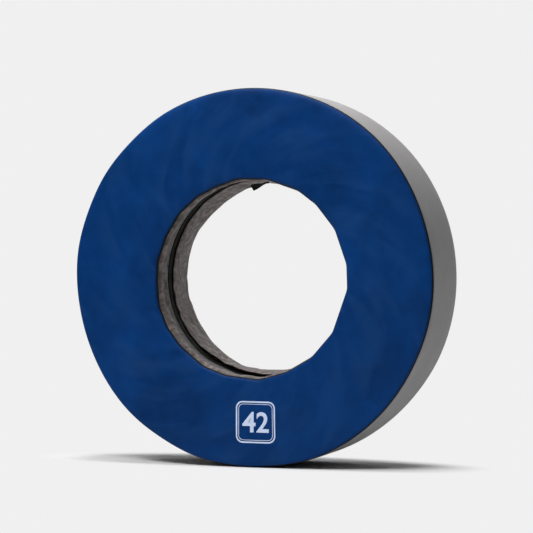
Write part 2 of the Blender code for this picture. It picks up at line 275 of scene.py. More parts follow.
def set_up_world():
    world = bpy.data.worlds.new("studio")
    bpy.context.scene.world = world
    world.use_nodes = True
    tree = world.node_tree
    tree.nodes.clear()
    rays = add_node(tree, "ShaderNodeLightPath")
    split = add_node(tree, "ShaderNodeSeparateXYZ", {0: texture_place(tree, "Generated")}).outputs
    towards_rear = split[1]
    behind = stretched(tree, towards_rear, -0.1, 0.5)
    gloss = calculate(tree, "MAXIMUM", rays.outputs["Is Glossy Ray"], rays.outputs["Is Transmission Ray"])
    seen = calculate(tree, "MAXIMUM", rays.outputs["Is Camera Ray"], times(tree, gloss, behind))
    fill = stretched(tree, towards_rear, -0.3, 0.6, front_ambient, rear_ambient)
    fill = times(tree, fill, stretched(tree, split[0], -0.1, 0.9, 1.0, right_share))
    ambient = add_node(tree, "ShaderNodeBackground", {"Color": backdrop_colour, "Strength": fill})
    backdrop = add_node(tree, "ShaderNodeBackground", {"Color": backdrop_colour, "Strength": 1.0})
    joined = add_node(tree, "ShaderNodeMixShader", {0: seen, 1: ambient.outputs[0], 2: backdrop.outputs[0]})
    add_node(tree, "ShaderNodeOutputWorld", {"Surface": joined.outputs[0]})


def add_softbox(name, place, width, height, power):
    """A rectangular lamp that points at the wheel's middle."""
    light = bpy.data.lights.new(name, "AREA")
    set_all(light, shape="RECTANGLE", size=width, size_y=height, energy=power)
    aim(add_object(name, light), place, -Vector(place))
    print(name, "at", place, "with", power, "W")


set_up_world()
add_softbox("overhead_softbox", (-0.20, -0.15, 3.1), 1.0, 0.5, 78)
add_softbox("front_softbox", (-0.6, -2.5, 2.9), 2.4, 1.2, 132)
add_softbox("rear_softbox", (-0.6, 2.6, 3.0), 1.8, 1.2, 22)

# %% Lay the floor
floor_radius = 2.6
shadow_middle = (-0.03, 0.03)
shadow_reach = (0.58, 0.20)
fade_share = 0.24
paper_colour = level(232, 232, 232)


def make_floor():
    mesh = bpy.data.meshes.new("floor")
    disc = bmesh.new()
    bmesh.ops.create_circle(disc, cap_ends=True, segments=96, radius=floor_radius)
    bmesh.ops.translate(disc, verts=disc.verts, vec=(0, 0, floor_level))
    disc.to_mesh(mesh)
    disc.free()
    add_object("floor", mesh)
    material, tree, _ = add_material("floor_paper")
    tree.nodes.clear()
    size = {
        "Vector": texture_place(tree),
        "Location": (-shadow_middle[0] / shadow_reach[0], -shadow_middle[1] / shadow_reach[1], 0),
        "Scale": (1 / shadow_reach[0], 1 / shadow_reach[1], 0),
    }
    scaled = add_node(tree, "ShaderNodeMapping", size).outputs[0]
    away = vector_math(tree, "LENGTH", scaled, output="Value")
    far = stretched(tree, away, 1 - fade_share, 1 + fade_share, smooth=True)
    rays = add_node(tree, "ShaderNodeLightPath")
    shown = times(tree, far, rays.outputs["Is Camera Ray"])
    paper = add_node(tree, "ShaderNodeBsdfDiffuse", {"Color": paper_colour})
    glow = add_node(tree, "ShaderNodeEmission", {"Color": backdrop_colour, "Strength": 1.0})
    joined = add_node(tree, "ShaderNodeMixShader", {0: shown, 1: paper.outputs[0], 2: glow.outputs[0]})
    add_node(tree, "ShaderNodeOutputMaterial", {"Surface": joined.outputs[0]})
    mesh.materials.append(material)


make_floor()
print("floor", floor_radius * 2, "m across at z", round(floor_level, 4))

# %% [markdown]
# ## Shared effects as node groups
# Vinyl, woven tape and painted metal each appear on several pieces. Their pattern is built once as a node group
# with named inputs, and each material sets its own values. A group hands out only colours, values and normals, and
# the shader itself stays in the material.

# %% Make a node group
surface_outputs = {"Color": "Color", "Roughness": "Float", "Normal": "Vector"}


def new_group(name, inputs):
    """A shader node group with the surface outputs. A default's form says which kind of socket it needs."""
    group = bpy.data.node_groups.new(name, "ShaderNodeTree")
    for label, default in inputs.items():
        kind = {3: "Vector", 4: "Color"}[len(default)] if isinstance(default, tuple) else "Float"
        socket = group.interface.new_socket(label, in_out="INPUT", socket_type=f"NodeSocket{kind}")
        socket.default_value = default
    for label, kind in surface_outputs.items():
        group.interface.new_socket(label, in_out="OUTPUT", socket_type=f"NodeSocket{kind}")
    return group, add_node(group, "NodeGroupInput").outputs


def put_out(group, colour, roughness, normal):
    add_node(group, "NodeGroupOutput", {"Color": colour, "Roughness": roughness, "Normal": normal.outputs[0]})


def bump(tree, height, distance, normal=None):
    """A bump node on top of another normal, if there is one."""
    inputs = {"Height": height, "Distance": distance}
    if normal:
        inputs["Normal"] = normal.outputs[0]
    return add_node(tree, "ShaderNodeBump", inputs)


print("groups hand out", ", ".join(surface_outputs))

# %% [markdown]
# Coated vinyl has a fine pebble from the embossing roller, a slow drift of tone across the sheet, soft streaks where
# it was pulled over the foam, and a trace of dust in the grain. The streaks' ridges are painted a lighter colour as a
# painted sheen, and a material can add patches of painted shade. The grain is finer than the photograph can show, so
# it mostly spreads the highlights, while the streaks and the drift are what an eye picks up from a few metres. The
# streaks need a direction, so the group takes their place as an input that each material turns and stretches.

# %% Build the vinyl group
def build_vinyl_group():
    grey = (0.5, 0.5, 0.5, 1)
    inputs = {
        "Place": (0, 0, 0), "Streak Place": (0, 0, 0), "Color": grey, "Streak Sheen Color": grey, "Drift": 0.1,
        "Streaks": 0.2, "Streak Depth": 0.001, "Grain Size": 0.0012, "Grain Depth": 0.00006, "Roughness": 0.45,
        "Dust": 0.05, "Painted Shade": 0.0,
    }
    group, given = new_group("vinyl_surface", inputs)
    place = given["Place"]
    drift = stretched(group, noise(group, place, 5.5, detail=3, distortion=0.6), 0.3, 0.7, -1, 1)
    blotch = stretched(group, noise(group, place, 34, detail=4, roughness=0.6), 0.3, 0.7, -1, 1)
    streak = noise(group, given["Streak Place"], 1, detail=1.5, roughness=0.45, distortion=0.3)
    shade = plus(group, drift, times(group, blotch, 0.5))
    change = times(group, shade, given["Drift"])
    gain = plus(group, 1, change)
    plain = add_node(group, "ShaderNodeHueSaturation", {"Color": given["Color"], "Value": gain}).outputs[0]
    # Painted sheen: the streaks' ridges are coloured lighter, towards the streak colour.
    ridge = stretched(group, streak, 0.45, 0.72, smooth=True)
    pulled = mixed(group, times(group, ridge, given["Streaks"]), plain, given["Streak Sheen Color"])
    specks = stretched(group, noise(group, place, 420, detail=2), 0.62, 0.8)
    dust = times(group, specks, given["Dust"])
    dusty = mixed(group, dust, pulled, level(196, 192, 186))
    # Painted shade: where a material asks for it, the colour is pulled in patches towards a dark brown-grey.
    patchy = plus(group, given["Painted Shade"], times(group, blotch, 0.12))
    painted_shade = times(group, patchy, stretched(group, given["Painted Shade"], 0, 0.1))
    coloured = mixed(group, painted_shade, dusty, level(26, 23, 23))
    cell_scale = calculate(group, "DIVIDE", 1, given["Grain Size"])
    pebble = add_node(group, "ShaderNodeTexVoronoi", {"Vector": place, "Scale": cell_scale}, feature="SMOOTH_F1")
    grain = bump(group, pebble.outputs[0], given["Grain Depth"])
    rough = plus(group, given["Roughness"], times(group, blotch, 0.04))
    rough = plus(group, rough, times(group, dust, 0.5))
    put_out(group, coloured, rough, bump(group, streak, given["Streak Depth"], grain))
    return group


vinyl_group = build_vinyl_group()
print("vinyl group has", len(vinyl_group.nodes), "nodes")

# %% [markdown]
# Zip tape and webbing are woven. Their pieces carry a UV map in metres, along the strip and across it, so that the
# weave follows the strip wherever it bends. Two crossing waves, one for each set of yarns, make the ribs, and the
# ribs' tops are painted lighter as a painted highlight.

# %% Build the weave group
def build_weave_group():
    inputs = {
        "Color": (0.02, 0.02, 0.02, 1), "Yarn Highlight Color": (0.05, 0.05, 0.05, 1), "Yarn Width": 0.0008,
        "Depth": 0.0002, "Roughness": 0.85,
    }
    group, given = new_group("woven_strip", inputs)
    place = texture_place(group, "UV")
    count = calculate(group, "DIVIDE", math.pi, given["Yarn Width"])
    split = add_node(group, "ShaderNodeSeparateXYZ", {0: place}).outputs
    along = calculate(group, "SINE", times(group, split[0], count))
    across = calculate(group, "SINE", times(group, split[1], count))
    weave = times(group, along, across)
    height = stretched(group, weave, -1, 1)
    fluff = noise(group, place, 900, detail=2)
    # Painted highlight: the yarns' tops are coloured lighter, towards the yarn highlight colour.
    lit = times(group, height, fluff)
    coloured = mixed(group, lit, given["Color"], given["Yarn Highlight Color"])
    rough = plus(group, given["Roughness"], times(group, fluff, 0.1))
    put_out(group, coloured, rough, bump(group, height, given["Depth"]))
    return group


weave_group = build_weave_group()
print("weave group has", len(weave_group.nodes), "nodes")

# %% [markdown]
# Small hard parts, the teeth, stops, slider and pull, share fine scratches and a rubbed look where fingers and cloth
# have passed. The rub is a patchy mask, since such parts never wear evenly.

# %% Build the rubbed group
def build_rubbed_group():
    inputs = {
        "Color": (0.02, 0.02, 0.02, 1), "Bare Color": (0.4, 0.4, 0.4, 1), "Rub": 0.4, "Roughness": 0.35,
        "Scratch Depth": 0.00003,
    }
    group, given = new_group("rubbed_part", inputs)
    place = texture_place(group)
    patches = stretched(group, noise(group, place, 260, detail=4, roughness=0.65), 0.48, 0.66)
    rub = times(group, patches, given["Rub"])
    coloured = mixed(group, rub, given["Color"], given["Bare Color"])
    lines = add_node(group, "ShaderNodeMapping", {"Vector": place, "Scale": (300, 2600, 900)}).outputs[0]
    scratch = noise(group, lines, 1, detail=3)
    rough = plus(group, given["Roughness"], times(group, patches, -0.08))
    put_out(group, coloured, rough, bump(group, scratch, given["Scratch Depth"]))
    return group


rubbed_group = build_rubbed_group()
print("rubbed group has", len(rubbed_group.nodes), "nodes")

# %% [markdown]
# ## Finishes
# Each finish is one Principled shader fed by one group. Values that are the same all over, such as the specular
# level or a metal's metallic share, are set on the shader itself.

# %% Mix the finishes
spoke_count = 6.5
spoke_scale = 9
side_scale = 9
spoke_swing = -2.4
# How far and how dark the painted shade by the zip's hem reaches on the front strip.
hem_shade_reach = 0.044
hem_shade_share = 1.3
hem_shade_end = 0.001
finishes = {}


def radial_place(tree, place):
    """Places for streaks that run from the bore to the rim and swing a little on the way."""
    flat = vector_math(tree, "MULTIPLY", place, (1, 0, 1))
    radius = vector_math(tree, "LENGTH", flat, output="Value")
    swing = {"Vector": vector_math(tree, "NORMALIZE", flat), "Angle": times(tree, radius, spoke_swing)}
    swung = add_node(tree, "ShaderNodeVectorRotate", swing, rotation_type="Y_AXIS").outputs[0]
    side = add_node(tree, "ShaderNodeSeparateXYZ", {0: place}).outputs[1]
    along = plus(tree, times(tree, radius, spoke_scale), times(tree, side, side_scale))
    deep = add_node(tree, "ShaderNodeCombineXYZ", {1: along}).outputs[0]
    return vector_math(tree, "ADD", vector_math(tree, "MULTIPLY", swung, [spoke_count] * 3), deep)


def closure_painted_shade(tree):
    """Painted shade in the zip's valley on the front strip, darkest at its hem."""
    y = add_node(tree, "ShaderNodeSeparateXYZ", {0: texture_place(tree)}).outputs[1]
    near = stretched(tree, y, front_hem - hem_shade_reach, front_hem, 0, hem_shade_share)
    return times(tree, near, stretched(tree, y, zip_plane, zip_plane + hem_shade_end, 1, 0))


def make_finish(name, group, values, streaks=None, painted_shade=False, **plain):
    """A material with a group's colour, roughness and normal on a Principled shader."""
    finishes[name], tree, shader = add_material(name)
    pattern = add_node(tree, "ShaderNodeGroup", values, node_tree=group)
    if streaks:
        places = add_node(tree, "ShaderNodeTexCoord").outputs
        tree.links.new(places["Object"], pattern.inputs["Place"])
        if streaks == "radial":
            streak_place = radial_place(tree, places["Object"])
        else:
            streak_place = add_node(tree, "ShaderNodeMapping", {"Vector": places["UV"], "Scale": streaks}).outputs[0]
        tree.links.new(streak_place, pattern.inputs["Streak Place"])
    # A finish may take the painted shade of the zip's valley.
    if painted_shade:
        tree.links.new(closure_painted_shade(tree), pattern.inputs["Painted Shade"])
    for label, target in (("Color", "Base Color"), ("Roughness", "Roughness"), ("Normal", "Normal")):
        tree.links.new(pattern.outputs[label], shader.inputs[target])
    for label, value in plain.items():
        shader.inputs[label.replace("_", " ")].default_value = value


# Each finish's streak colour is lighter than its base colour: a painted sheen on the streaks' ridges.
make_finish("blue_vinyl", vinyl_group, {
    "Color": level(6, 49, 102), "Streak Sheen Color": level(22, 60, 111), "Drift": 0.20,
    "Streaks": 0.42, "Streak Depth": 0.0030, "Roughness": 0.43, "Dust": 0.002,
}, streaks="radial", Specular_IOR_Level=0.05)
make_finish("grey_vinyl", vinyl_group, {
    "Color": level(132, 130, 130), "Streak Sheen Color": level(139, 136, 135), "Drift": 0.04,
    "Streaks": 0.3, "Streak Depth": 0.0006, "Roughness": 0.46, "Dust": 0.04,
}, streaks=(6, 10, 1), Specular_IOR_Level=0.35)
# The lining's colour is darker than the tread's grey as painted shade for the inside of the bore.
make_finish("lining_vinyl", vinyl_group, {
    "Color": level(93, 85, 82), "Streak Sheen Color": level(146, 134, 130), "Drift": 0.32,
    "Streaks": 0.6, "Streak Depth": 0.0090, "Roughness": 0.52, "Dust": 0.05,
}, streaks=(62, 40, 1), painted_shade=True, Specular_IOR_Level=0.35)
make_finish("black_vinyl", vinyl_group, {
    "Color": level(8, 12, 17), "Streak Sheen Color": level(20, 25, 32), "Drift": 0.15,
    "Streaks": 0.3, "Streak Depth": 0.0004, "Grain Size": 0.0009, "Roughness": 0.55, "Dust": 0.01,
}, streaks=(60, 200, 1), Specular_IOR_Level=0.2)
make_finish("zip_tape", weave_group, {
    "Color": level(10, 9, 9), "Yarn Highlight Color": level(27, 23, 23), "Yarn Width": 0.0009,
}, Specular_IOR_Level=0.2)
make_finish("webbing", weave_group, {
    "Color": level(10, 11, 11), "Yarn Highlight Color": level(30, 31, 32), "Yarn Width": 0.0012, "Depth": 0.0003,
}, Specular_IOR_Level=0.2)
make_finish("thread", rubbed_group, {
    "Color": level(26, 24, 25), "Bare Color": level(86, 80, 80), "Rub": 0.5, "Roughness": 0.8,
})
make_finish("zip_teeth", rubbed_group, {
    "Color": level(9, 8, 8), "Bare Color": level(60, 54, 52), "Rub": 0.25, "Roughness": 0.5,
}, Specular_IOR_Level=0.25)
make_finish("zip_metal", rubbed_group, {
    "Color": level(40, 40, 43), "Bare Color": level(176, 174, 170), "Rub": 0.55, "Roughness": 0.34,
}, Metallic=1.0)
print(len(finishes), "finishes from three groups")

# %% [markdown]
# The foam and the filler cord are out of sight inside the cover, yet they are real pieces of the wheel. Foam shows
# open cells, and the filler is a soft extruded cord.

# %% Mix the hidden finishes
def make_cellular(name, colour, yellow_and_pit_shade_colour, cell_size, depth):
    """A foam finish: rounded cells whose pits are darkened as painted shade."""
    finishes[name], tree, shader = add_material(name)
    place = texture_place(tree)
    cells = add_node(tree, "ShaderNodeTexVoronoi", {"Vector": place, "Scale": 1 / cell_size}).outputs[0]
    pits = stretched(tree, cells, 0.1, 0.6, smooth=True)
    yellowed = stretched(tree, noise(tree, place, 6, detail=3), 0.35, 0.7)
    base = mixed(tree, times(tree, yellowed, 0.3), colour, yellow_and_pit_shade_colour)
    # Painted shade: the pits are coloured towards the darker colour.
    tree.links.new(mixed(tree, pits, yellow_and_pit_shade_colour, base), shader.inputs["Base Color"])
    tree.links.new(bump(tree, pits, depth).outputs[0], shader.inputs["Normal"])
    shader.inputs["Roughness"].default_value = 0.95


make_cellular("foam", level(228, 216, 172), level(196, 176, 120), 0.0022, 0.0005)
make_cellular("filler", level(206, 201, 192), level(170, 164, 152), 0.0008, 0.0001)
print("hidden finishes made")

# %% [markdown]
# ## Rings from grids of places
# Nearly every piece of the wheel is a section carried round the axis. A grid of places, first round the wheel and
# then along the section, is easy to bend, to simulate and to turn into a mesh, so all the soft pieces start as one.
# All rings use the same angles, which keeps the layers of the cover parallel.

# %% Turn a grid into an object
ring_steps = 320
ring_angles = np.linspace(0, math.tau, ring_steps, endpoint=False)


def grid_object(name, places, finish, closed_round=True, closed_across=False):
    """A mesh from a grid of places, with a UV map in metres along and across it."""
    steps, points = places.shape[:2]
    index = np.arange(steps * points).reshape(steps, points)
    along = index if not closed_round else np.vstack([index, index[:1]])
    along = along if not closed_across else np.hstack([along, along[:, :1]])
    faces = np.stack([along[:-1, :-1], along[:-1, 1:], along[1:, 1:], along[1:, :-1]], axis=-1).reshape(-1, 4)
    mesh = bpy.data.meshes.new(name)
    mesh.from_pydata(places.reshape(-1, 3).tolist(), [], faces.tolist())
    lapped = places if not closed_round else np.concatenate([places, places[:1]])
    lapped = lapped if not closed_across else np.concatenate([lapped, lapped[:, :1]], axis=1)
    step_lengths = np.linalg.norm(np.diff(lapped, axis=0), axis=2).mean(axis=1)
    across_lengths = np.linalg.norm(np.diff(lapped, axis=1), axis=2).mean(axis=0)
    u = np.concatenate([[0], np.cumsum(step_lengths)])
    v = np.concatenate([[0], np.cumsum(across_lengths)])
    grid_u, grid_v = np.meshgrid(u, v, indexing="ij")
    uv = np.stack([grid_u, grid_v], axis=-1)
    corners = np.stack([uv[:-1, :-1], uv[:-1, 1:], uv[1:, 1:], uv[1:, :-1]], axis=2)
    mesh.uv_layers.new(name="strip").data.foreach_set("uv", corners.reshape(-1).astype(np.float32))
    mesh.materials.append(finishes[finish])
    mesh.shade_smooth()
    return add_object(name, mesh)


def face_outwards(piece):
    """Recalculates a closed mesh's normals."""
    with edited(piece.data) as data:
        bmesh.ops.recalc_face_normals(data, faces=data.faces)
    return piece


def dress(piece, slot_name, *nodes, body="wheel"):
    """Rides a piece on its body and lets it stand for its CAD nodes. The slot name is not used."""
    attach(piece, body)
    if nodes:
        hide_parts(*nodes)
    print(piece.name, len(piece.data.polygons), "faces before its modifiers")
    return piece


rim_step = math.tau * outer_radius / ring_steps
print("rings have", ring_steps, "places round them, one every", round(rim_step * 1000, 1), "mm at the rim")

# %% [markdown]
# ## How the cover departs from a perfect ring
# The photograph shows the bore's front edge as about twenty short straight runs between gathers. The rear edge sags
# under the top and bulges at the bottom. The corners below are listed as an angle from the right-hand side and the
# edge's radius there in millimetres, and straight chords join them. Every layer near an edge is moved by the same
# amount, so the layers keep their order and their gaps.

# %% Choose the gathers
millimetre = 0.001
front_gathers = [
    (8, 285.4), (29, 283.5), (47, 282.5), (61, 283.0), (80, 281.5), (98, 281.6), (112, 277.6), (125, 280.6),
    (140, 282.8), (155, 282.6), (171, 286.4), (183, 285.6), (196, 290.8), (209, 291.4), (222, 288.8), (240, 289.0),
    (255, 285.0), (275, 286.6), (292, 283.6), (309, 285.0), (328, 284.9), (354, 286.3),
]
rear_gathers = [
    (3, 286.0), (22, 285.0), (40, 282.0), (60, 276.5), (78, 274.5), (96, 278.3), (112, 279.8), (128, 279.8),
    (141, 281.0), (152, 288.0), (160, 289.6), (169, 291.6), (180, 292.0), (192, 291.4), (206, 288.8),
    (222, 287.2), (235, 286.2), (247, 286.6), (261, 279.4), (275, 276.6), (290, 273.9), (308, 278.5),
    (326, 284.0), (345, 286.5),
]


chord_passes = 2


def chord_radii(gathers):
    """Radius at each ring angle of the straight chords between gathers, slightly eased at the corners."""
    corner_angles = np.radians([angle for angle, _ in gathers])
    corner_radii = np.array([radius for _, radius in gathers]) * millimetre
    after = np.searchsorted(corner_angles, ring_angles, side="right") % len(gathers)
    before = after - 1
    span = (corner_angles[after] - corner_angles[before]) % math.tau
    done = (ring_angles - corner_angles[before]) % math.tau
    start, end = corner_radii[before], corner_radii[after]
    chords = start * end * np.sin(span) / (start * np.sin(done) + end * np.sin(span - done))
    for _ in range(chord_passes):
        chords = (np.roll(chords, 1) + 2 * chords + np.roll(chords, -1)) / 4
    return chords


print(len(front_gathers), "gathers at the bore's front edge and", len(rear_gathers), "at its rear edge")

# %% [markdown]
# The outer edge is much calmer: broad, shallow lobes of a few millimetres, and a short flat where the foam gives
# under the wheel's own weight. The lobes are listed in the same way, as an angle and a departure in millimetres.

# %% Choose the lobes of the rim
front_lobes = [
    (16, -3.4), (32, -1.0), (46, 2.0), (64, 2.4), (80, 1.8), (100, 2.4), (120, 4.8), (134, 1.8), (146, 5.2),
    (158, 2.8), (172, 6.8), (190, 2.0), (205, 1.8), (226, 5.0), (240, 0.0), (250, 2.4), (262, -0.6), (276, -2.0),
    (290, 3.6), (312, 2.0), (334, -0.6), (352, 0.6),
]
rear_lobes = [
    (0, 3.0), (20, 3.2), (40, 4.2), (60, 2.8), (80, 1.4), (130, 0.6), (180, 0.0), (220, 0.8), (250, 0.4),
    (270, 0.3), (304, -0.6), (320, 0.0), (336, 3.2), (350, 3.1),
]


lobe_passes = 20


def lobe_offsets(lobes):
    """A smooth curve through the lobes at the ring angles."""
    angles = np.radians([angle for angle, _ in lobes])
    departures = np.array([departure for _, departure in lobes]) * millimetre
    values = np.interp(ring_angles, angles, departures, period=math.tau)
    for _ in range(lobe_passes):
        values = (np.roll(values, 1) + 2 * values + np.roll(values, -1)) / 4
    return values


print(len(front_lobes), "marks along the front rim and", len(rear_lobes), "along the rear one")

# %% [markdown]
# A section point moves with the edge that it is near. The weights fade over a few centimetres, so that the zip's
# line in the middle of the bore stays a true circle for the slider to follow.

# %% Move a section with the cover
calm_front_edge = bore_radius + 0.0054
calm_rear_edge = bore_radius + 0.0038
bore_calm = (0.300, 0.375)
rim_calm = (0.430, 0.510)
front_calm = (-0.104, -0.048)
rear_calm = (0.010, 0.100)
tread_calm = (-0.100, 0.100)


def eased(value, low, high):
    """A smooth rise from 0 at low to 1 at high."""
    share = np.clip((value - low) / (high - low), 0, 1)
    return share * share * (3 - 2 * share)


def uneven(seed, fewest, most):
    """A random wave round the wheel, from -1 to 1, with lobes between the two counts."""
    random = np.random.default_rng(seed)
    wave = np.zeros(ring_steps)
    for count in range(fewest, most):
        wave += random.normal() * np.cos(count * ring_angles + random.uniform(0, math.tau)) / math.sqrt(count)
    return wave / np.abs(wave).max()


front_offset = chord_radii(front_gathers) - calm_front_edge
rear_offset = chord_radii(rear_gathers) - calm_rear_edge
front_rim = lobe_offsets(front_lobes)
rear_rim = lobe_offsets(rear_lobes)


def shaped(section):
    """A grid of places for a section of (radius, y) points, moved as the cover is."""
    radius, y = np.array(section, float).T
    near_bore = 1 - eased(radius, *bore_calm)
    near_rim = eased(radius, *rim_calm)
    to_rear = eased(y, *tread_calm)
    moved = (
        radius
        + np.outer(front_offset, near_bore * (1 - eased(y, *front_calm)))
        + np.outer(rear_offset, near_bore * eased(y, *rear_calm))
        + np.outer(front_rim, near_rim * (1 - to_rear))
        + np.outer(rear_rim, near_rim * to_rear)
    )
    across = np.broadcast_to(y, moved.shape)
    places = np.stack([moved * np.cos(ring_angles)[:, None], across, moved * np.sin(ring_angles)[:, None]], axis=-1)
    places[..., 2] = np.maximum(places[..., 2], floor_level)
    return places


def mirrored(section):
    return [(radius, -y) for radius, y in section][::-1]


for edge_name, moves in (("bore front", front_offset), ("bore rear", rear_offset), ("front rim", front_rim)):
    print(edge_name, "edge moves from", round(moves.min() * 1000, 1), "to", round(moves.max() * 1000, 1), "mm")

# %% [markdown]
# ## Settling the vinyl by cloth simulation
# Wrinkles drawn by hand look drawn. Here each skin is simulated as cloth: both of its sewn edges are held, and while
# the sheet settles they are dragged a few millimetres round the wheel by uneven amounts, as happens when a cover is
# pulled over foam. The drag lines and gathers that form are real ones. The foam behind stops the sheet from
# denting, so afterwards the dents are cut off, the bulges are limited, and one light smoothing removes ripples that
# are only as wide as a grid cell.

# %% Simulate a sewn sheet
cloth_frames = 20
pull_frames = 12
stiffness = 30
shear_share = 0.6
outer_seed_step = 50


def dragged(places, inner_pull, outer_pull):
    """The grid with its rows turned about the axis, by one amount at its first row and another at its last."""
    share = np.linspace(0, 1, places.shape[1])[None, :]
    radius = np.hypot(places[..., 0], places[..., 2])
    turn = (inner_pull[:, None] * (1 - share) + outer_pull[:, None] * share) / radius
    angle = np.arctan2(places[..., 2], places[..., 0]) + turn
    return np.stack([radius * np.cos(angle), places[..., 1], radius * np.sin(angle)], axis=-1)


def settle_cloth(places, pull, slack, pressure, seed, bending=8, sewn=(1, 1)):
    """Where a grid of places settles under uneven pulls, with some rows at each edge sewn fast."""
    sheet = grid_object("settling", places, "foam")
    seam = sheet.vertex_groups.new(name="sewn")
    index = np.arange(places[..., 0].size).reshape(places.shape[:2])
    seam.add(np.hstack([index[:, :sewn[0]], index[:, -sewn[1]:]]).ravel().tolist(), 1.0, "ADD")
    sheet.shape_key_add(name="rest")
    pulled = sheet.shape_key_add(name="pulled")
    target = dragged(places, pull * uneven(seed, 3, 13), pull * uneven(seed + outer_seed_step, 3, 13))
    pulled.data.foreach_set("co", target.reshape(-1).astype(np.float32))
    scene = bpy.context.scene
    for share, time in ((0, 1), (1, pull_frames)):
        pulled.value = share
        pulled.keyframe_insert("value", frame=time)
    cloth = sheet.modifiers.new("cloth", "CLOTH")
    set_all(
        cloth.settings, quality=6, mass=0.3, tension_stiffness=stiffness, compression_stiffness=stiffness,
        shear_stiffness=stiffness * shear_share, bending_stiffness=bending, tension_damping=10, compression_damping=10,
        shear_damping=10, air_damping=3, vertex_group_mass="sewn", pin_stiffness=5, shrink_min=-slack,
        shrink_max=-slack, use_pressure=True, uniform_pressure_force=pressure,
    )
    cloth.settings.effector_weights.gravity = 0
    cloth.collision_settings.use_collision = False
    cloth.point_cache.frame_end = cloth_frames
    for time in range(1, cloth_frames + 1):
        scene.frame_set(time)
    settled = sheet.evaluated_get(bpy.context.evaluated_depsgraph_get())
    flat = np.zeros(places.size, np.float32)
    settled.data.vertices.foreach_get("co", flat)
    scene.frame_set(1)
    bpy.data.objects.remove(sheet, do_unlink=True)
    return flat.reshape(places.shape).astype(float)


print("each simulated sheet is dragged for", pull_frames, "frames and rests until frame", cloth_frames)

# %% Keep the cloth on its foam
def grid_normals(places):
    """Unit normals of a closed ring grid, on the side that the skin shows."""
    along = np.roll(places, -1, axis=0) - np.roll(places, 1, axis=0)
    across = np.gradient(places, axis=1)
    normal = np.cross(across, along)
    return normal / np.linalg.norm(normal, axis=2, keepdims=True)


def smoothed(values, passes):
    """Averages a grid with its neighbours, leaving the first and last row."""
    for _ in range(passes):
        inside = values[:, 1:-1]
        near = np.roll(values, 1, axis=0)[:, 1:-1] + np.roll(values, -1, axis=0)[:, 1:-1]
        values = values.copy()
        values[:, 1:-1] = 0.5 * inside + 0.125 * (near + values[:, 2:] + values[:, :-2])
    return values


def on_foam(places, settled, cap, dent, share, passes=3):
    """The settled sheet, smoothed, scaled by a share, and kept between the dent and the cap."""
    moved = smoothed(settled - places, passes) * share
    normal = grid_normals(places)
    lift = (moved * normal).sum(axis=2, keepdims=True)
    kept = np.clip(lift, -dent, cap)
    print("cloth lifts from", round(lift.min() * 1000, 2), "to", round(lift.max() * 1000, 2), "mm")
    return places + moved + normal * (kept - lift)


def skin(name, places, finish, thickness):
    """An open sheet with its thickness under the side that shows, smoothed once."""
    piece = grid_object(name, places, finish)
    row = places.shape[1] // 2
    face = min(piece.data.polygons, key=lambda item: (item.center - Vector(places[0, row])).length)
    if face.normal.dot(Vector(grid_normals(places)[0, row])) < 0:
        piece.data.flip_normals()
    add_modifier(piece, "smooth", "SUBSURF", levels=1, render_levels=1)
    add_modifier(piece, "thickness", "SOLIDIFY", thickness=thickness, offset=-1)
    return piece


print("a settled sheet is smoothed, then kept close to its foam")

# %% [markdown]
# ## Corner seams
# At each corner of the section two skins are sewn together with a welt between them, and the seam runs on into the
# foam. The cover has crept to the rear on its foam. So the front panel turns over the front corners before it dives
# into its seams, and at the rear the tread and the lining do. That is why the photograph shows piping beside the
# tread on the right and none on the left. The welts' middles are read from the CAD fillers, whose section lies on a
# circle. A rear seam is given as if it were at the front, and its points are mirrored when they are used.

# %% Find the seams
touch_gap = 0.0003
vinyl_thickness = 0.0012
seam_allowance = 0.0080
welt_radius = 0.0030
welt_degrees = 130
welt_arc = math.radians(welt_degrees)
hug_step = 30
lip_hug = 74
roll_hug = 100
seam_leans = {"front": math.radians(20), "rear": math.radians(70)}


def welt_middle(filler):
    """Radius and y of the middle of the circle that a CAD filler's section lies on."""
    radii, y = node_section(filler)
    terms = np.column_stack([2 * radii, 2 * y, np.ones(len(y))])
    radius, middle_y, _ = np.linalg.lstsq(terms, radii**2 + y**2, rcond=None)[0]
    return float(radius), float(middle_y)


seams = {}
for seam_ring in ("outer", "bore"):
    for seam_end, lean in seam_leans.items():
        radius, y = welt_middle(f"{seam_ring}_filler_{seam_end}")
        seams[seam_ring, seam_end] = (radius, -abs(y), lean)
        print(seam_ring, seam_end, "seam at radius", round(radius, 4), "and y", round(y, 4))

# %% [markdown]
# Places near a seam are easiest to give as a depth along it and a distance to one side. Places on a corner are given
# by how far in they are from the wheel's round side and from its face.

# %% Draw the sewn edges
def seam_place(seam, depth, side):
    """A point by a seam. The side is positive towards the tread or the lining."""
    radius, y, lean = seams[seam]
    inward = -1 if seam[0] == "outer" else 1
    return (
        radius + inward * (math.cos(lean) * depth - math.sin(lean) * side),
        y + math.sin(lean) * depth + math.cos(lean) * side,
    )


def corner_places(ring, insets):
    """Points on a front corner of the wheel's section, from pairs of distances in."""
    start, way = (outer_radius, -1) if ring == "outer" else (bore_radius, 1)
    return [(start + way * from_round, from_face - half_width) for from_round, from_face in insets]


def round_welt(seam, side, degrees):
    """Points where a skin hugs the welt, from deep in the seam to the given angle from its crest."""
    reach = welt_radius + touch_gap
    count = 1 + math.ceil((welt_degrees - degrees) / hug_step)
    angles = np.radians(np.linspace(welt_degrees, degrees, count))
    return [seam_place(seam, -math.cos(a) * reach, side * math.sin(a) * reach) for a in angles]


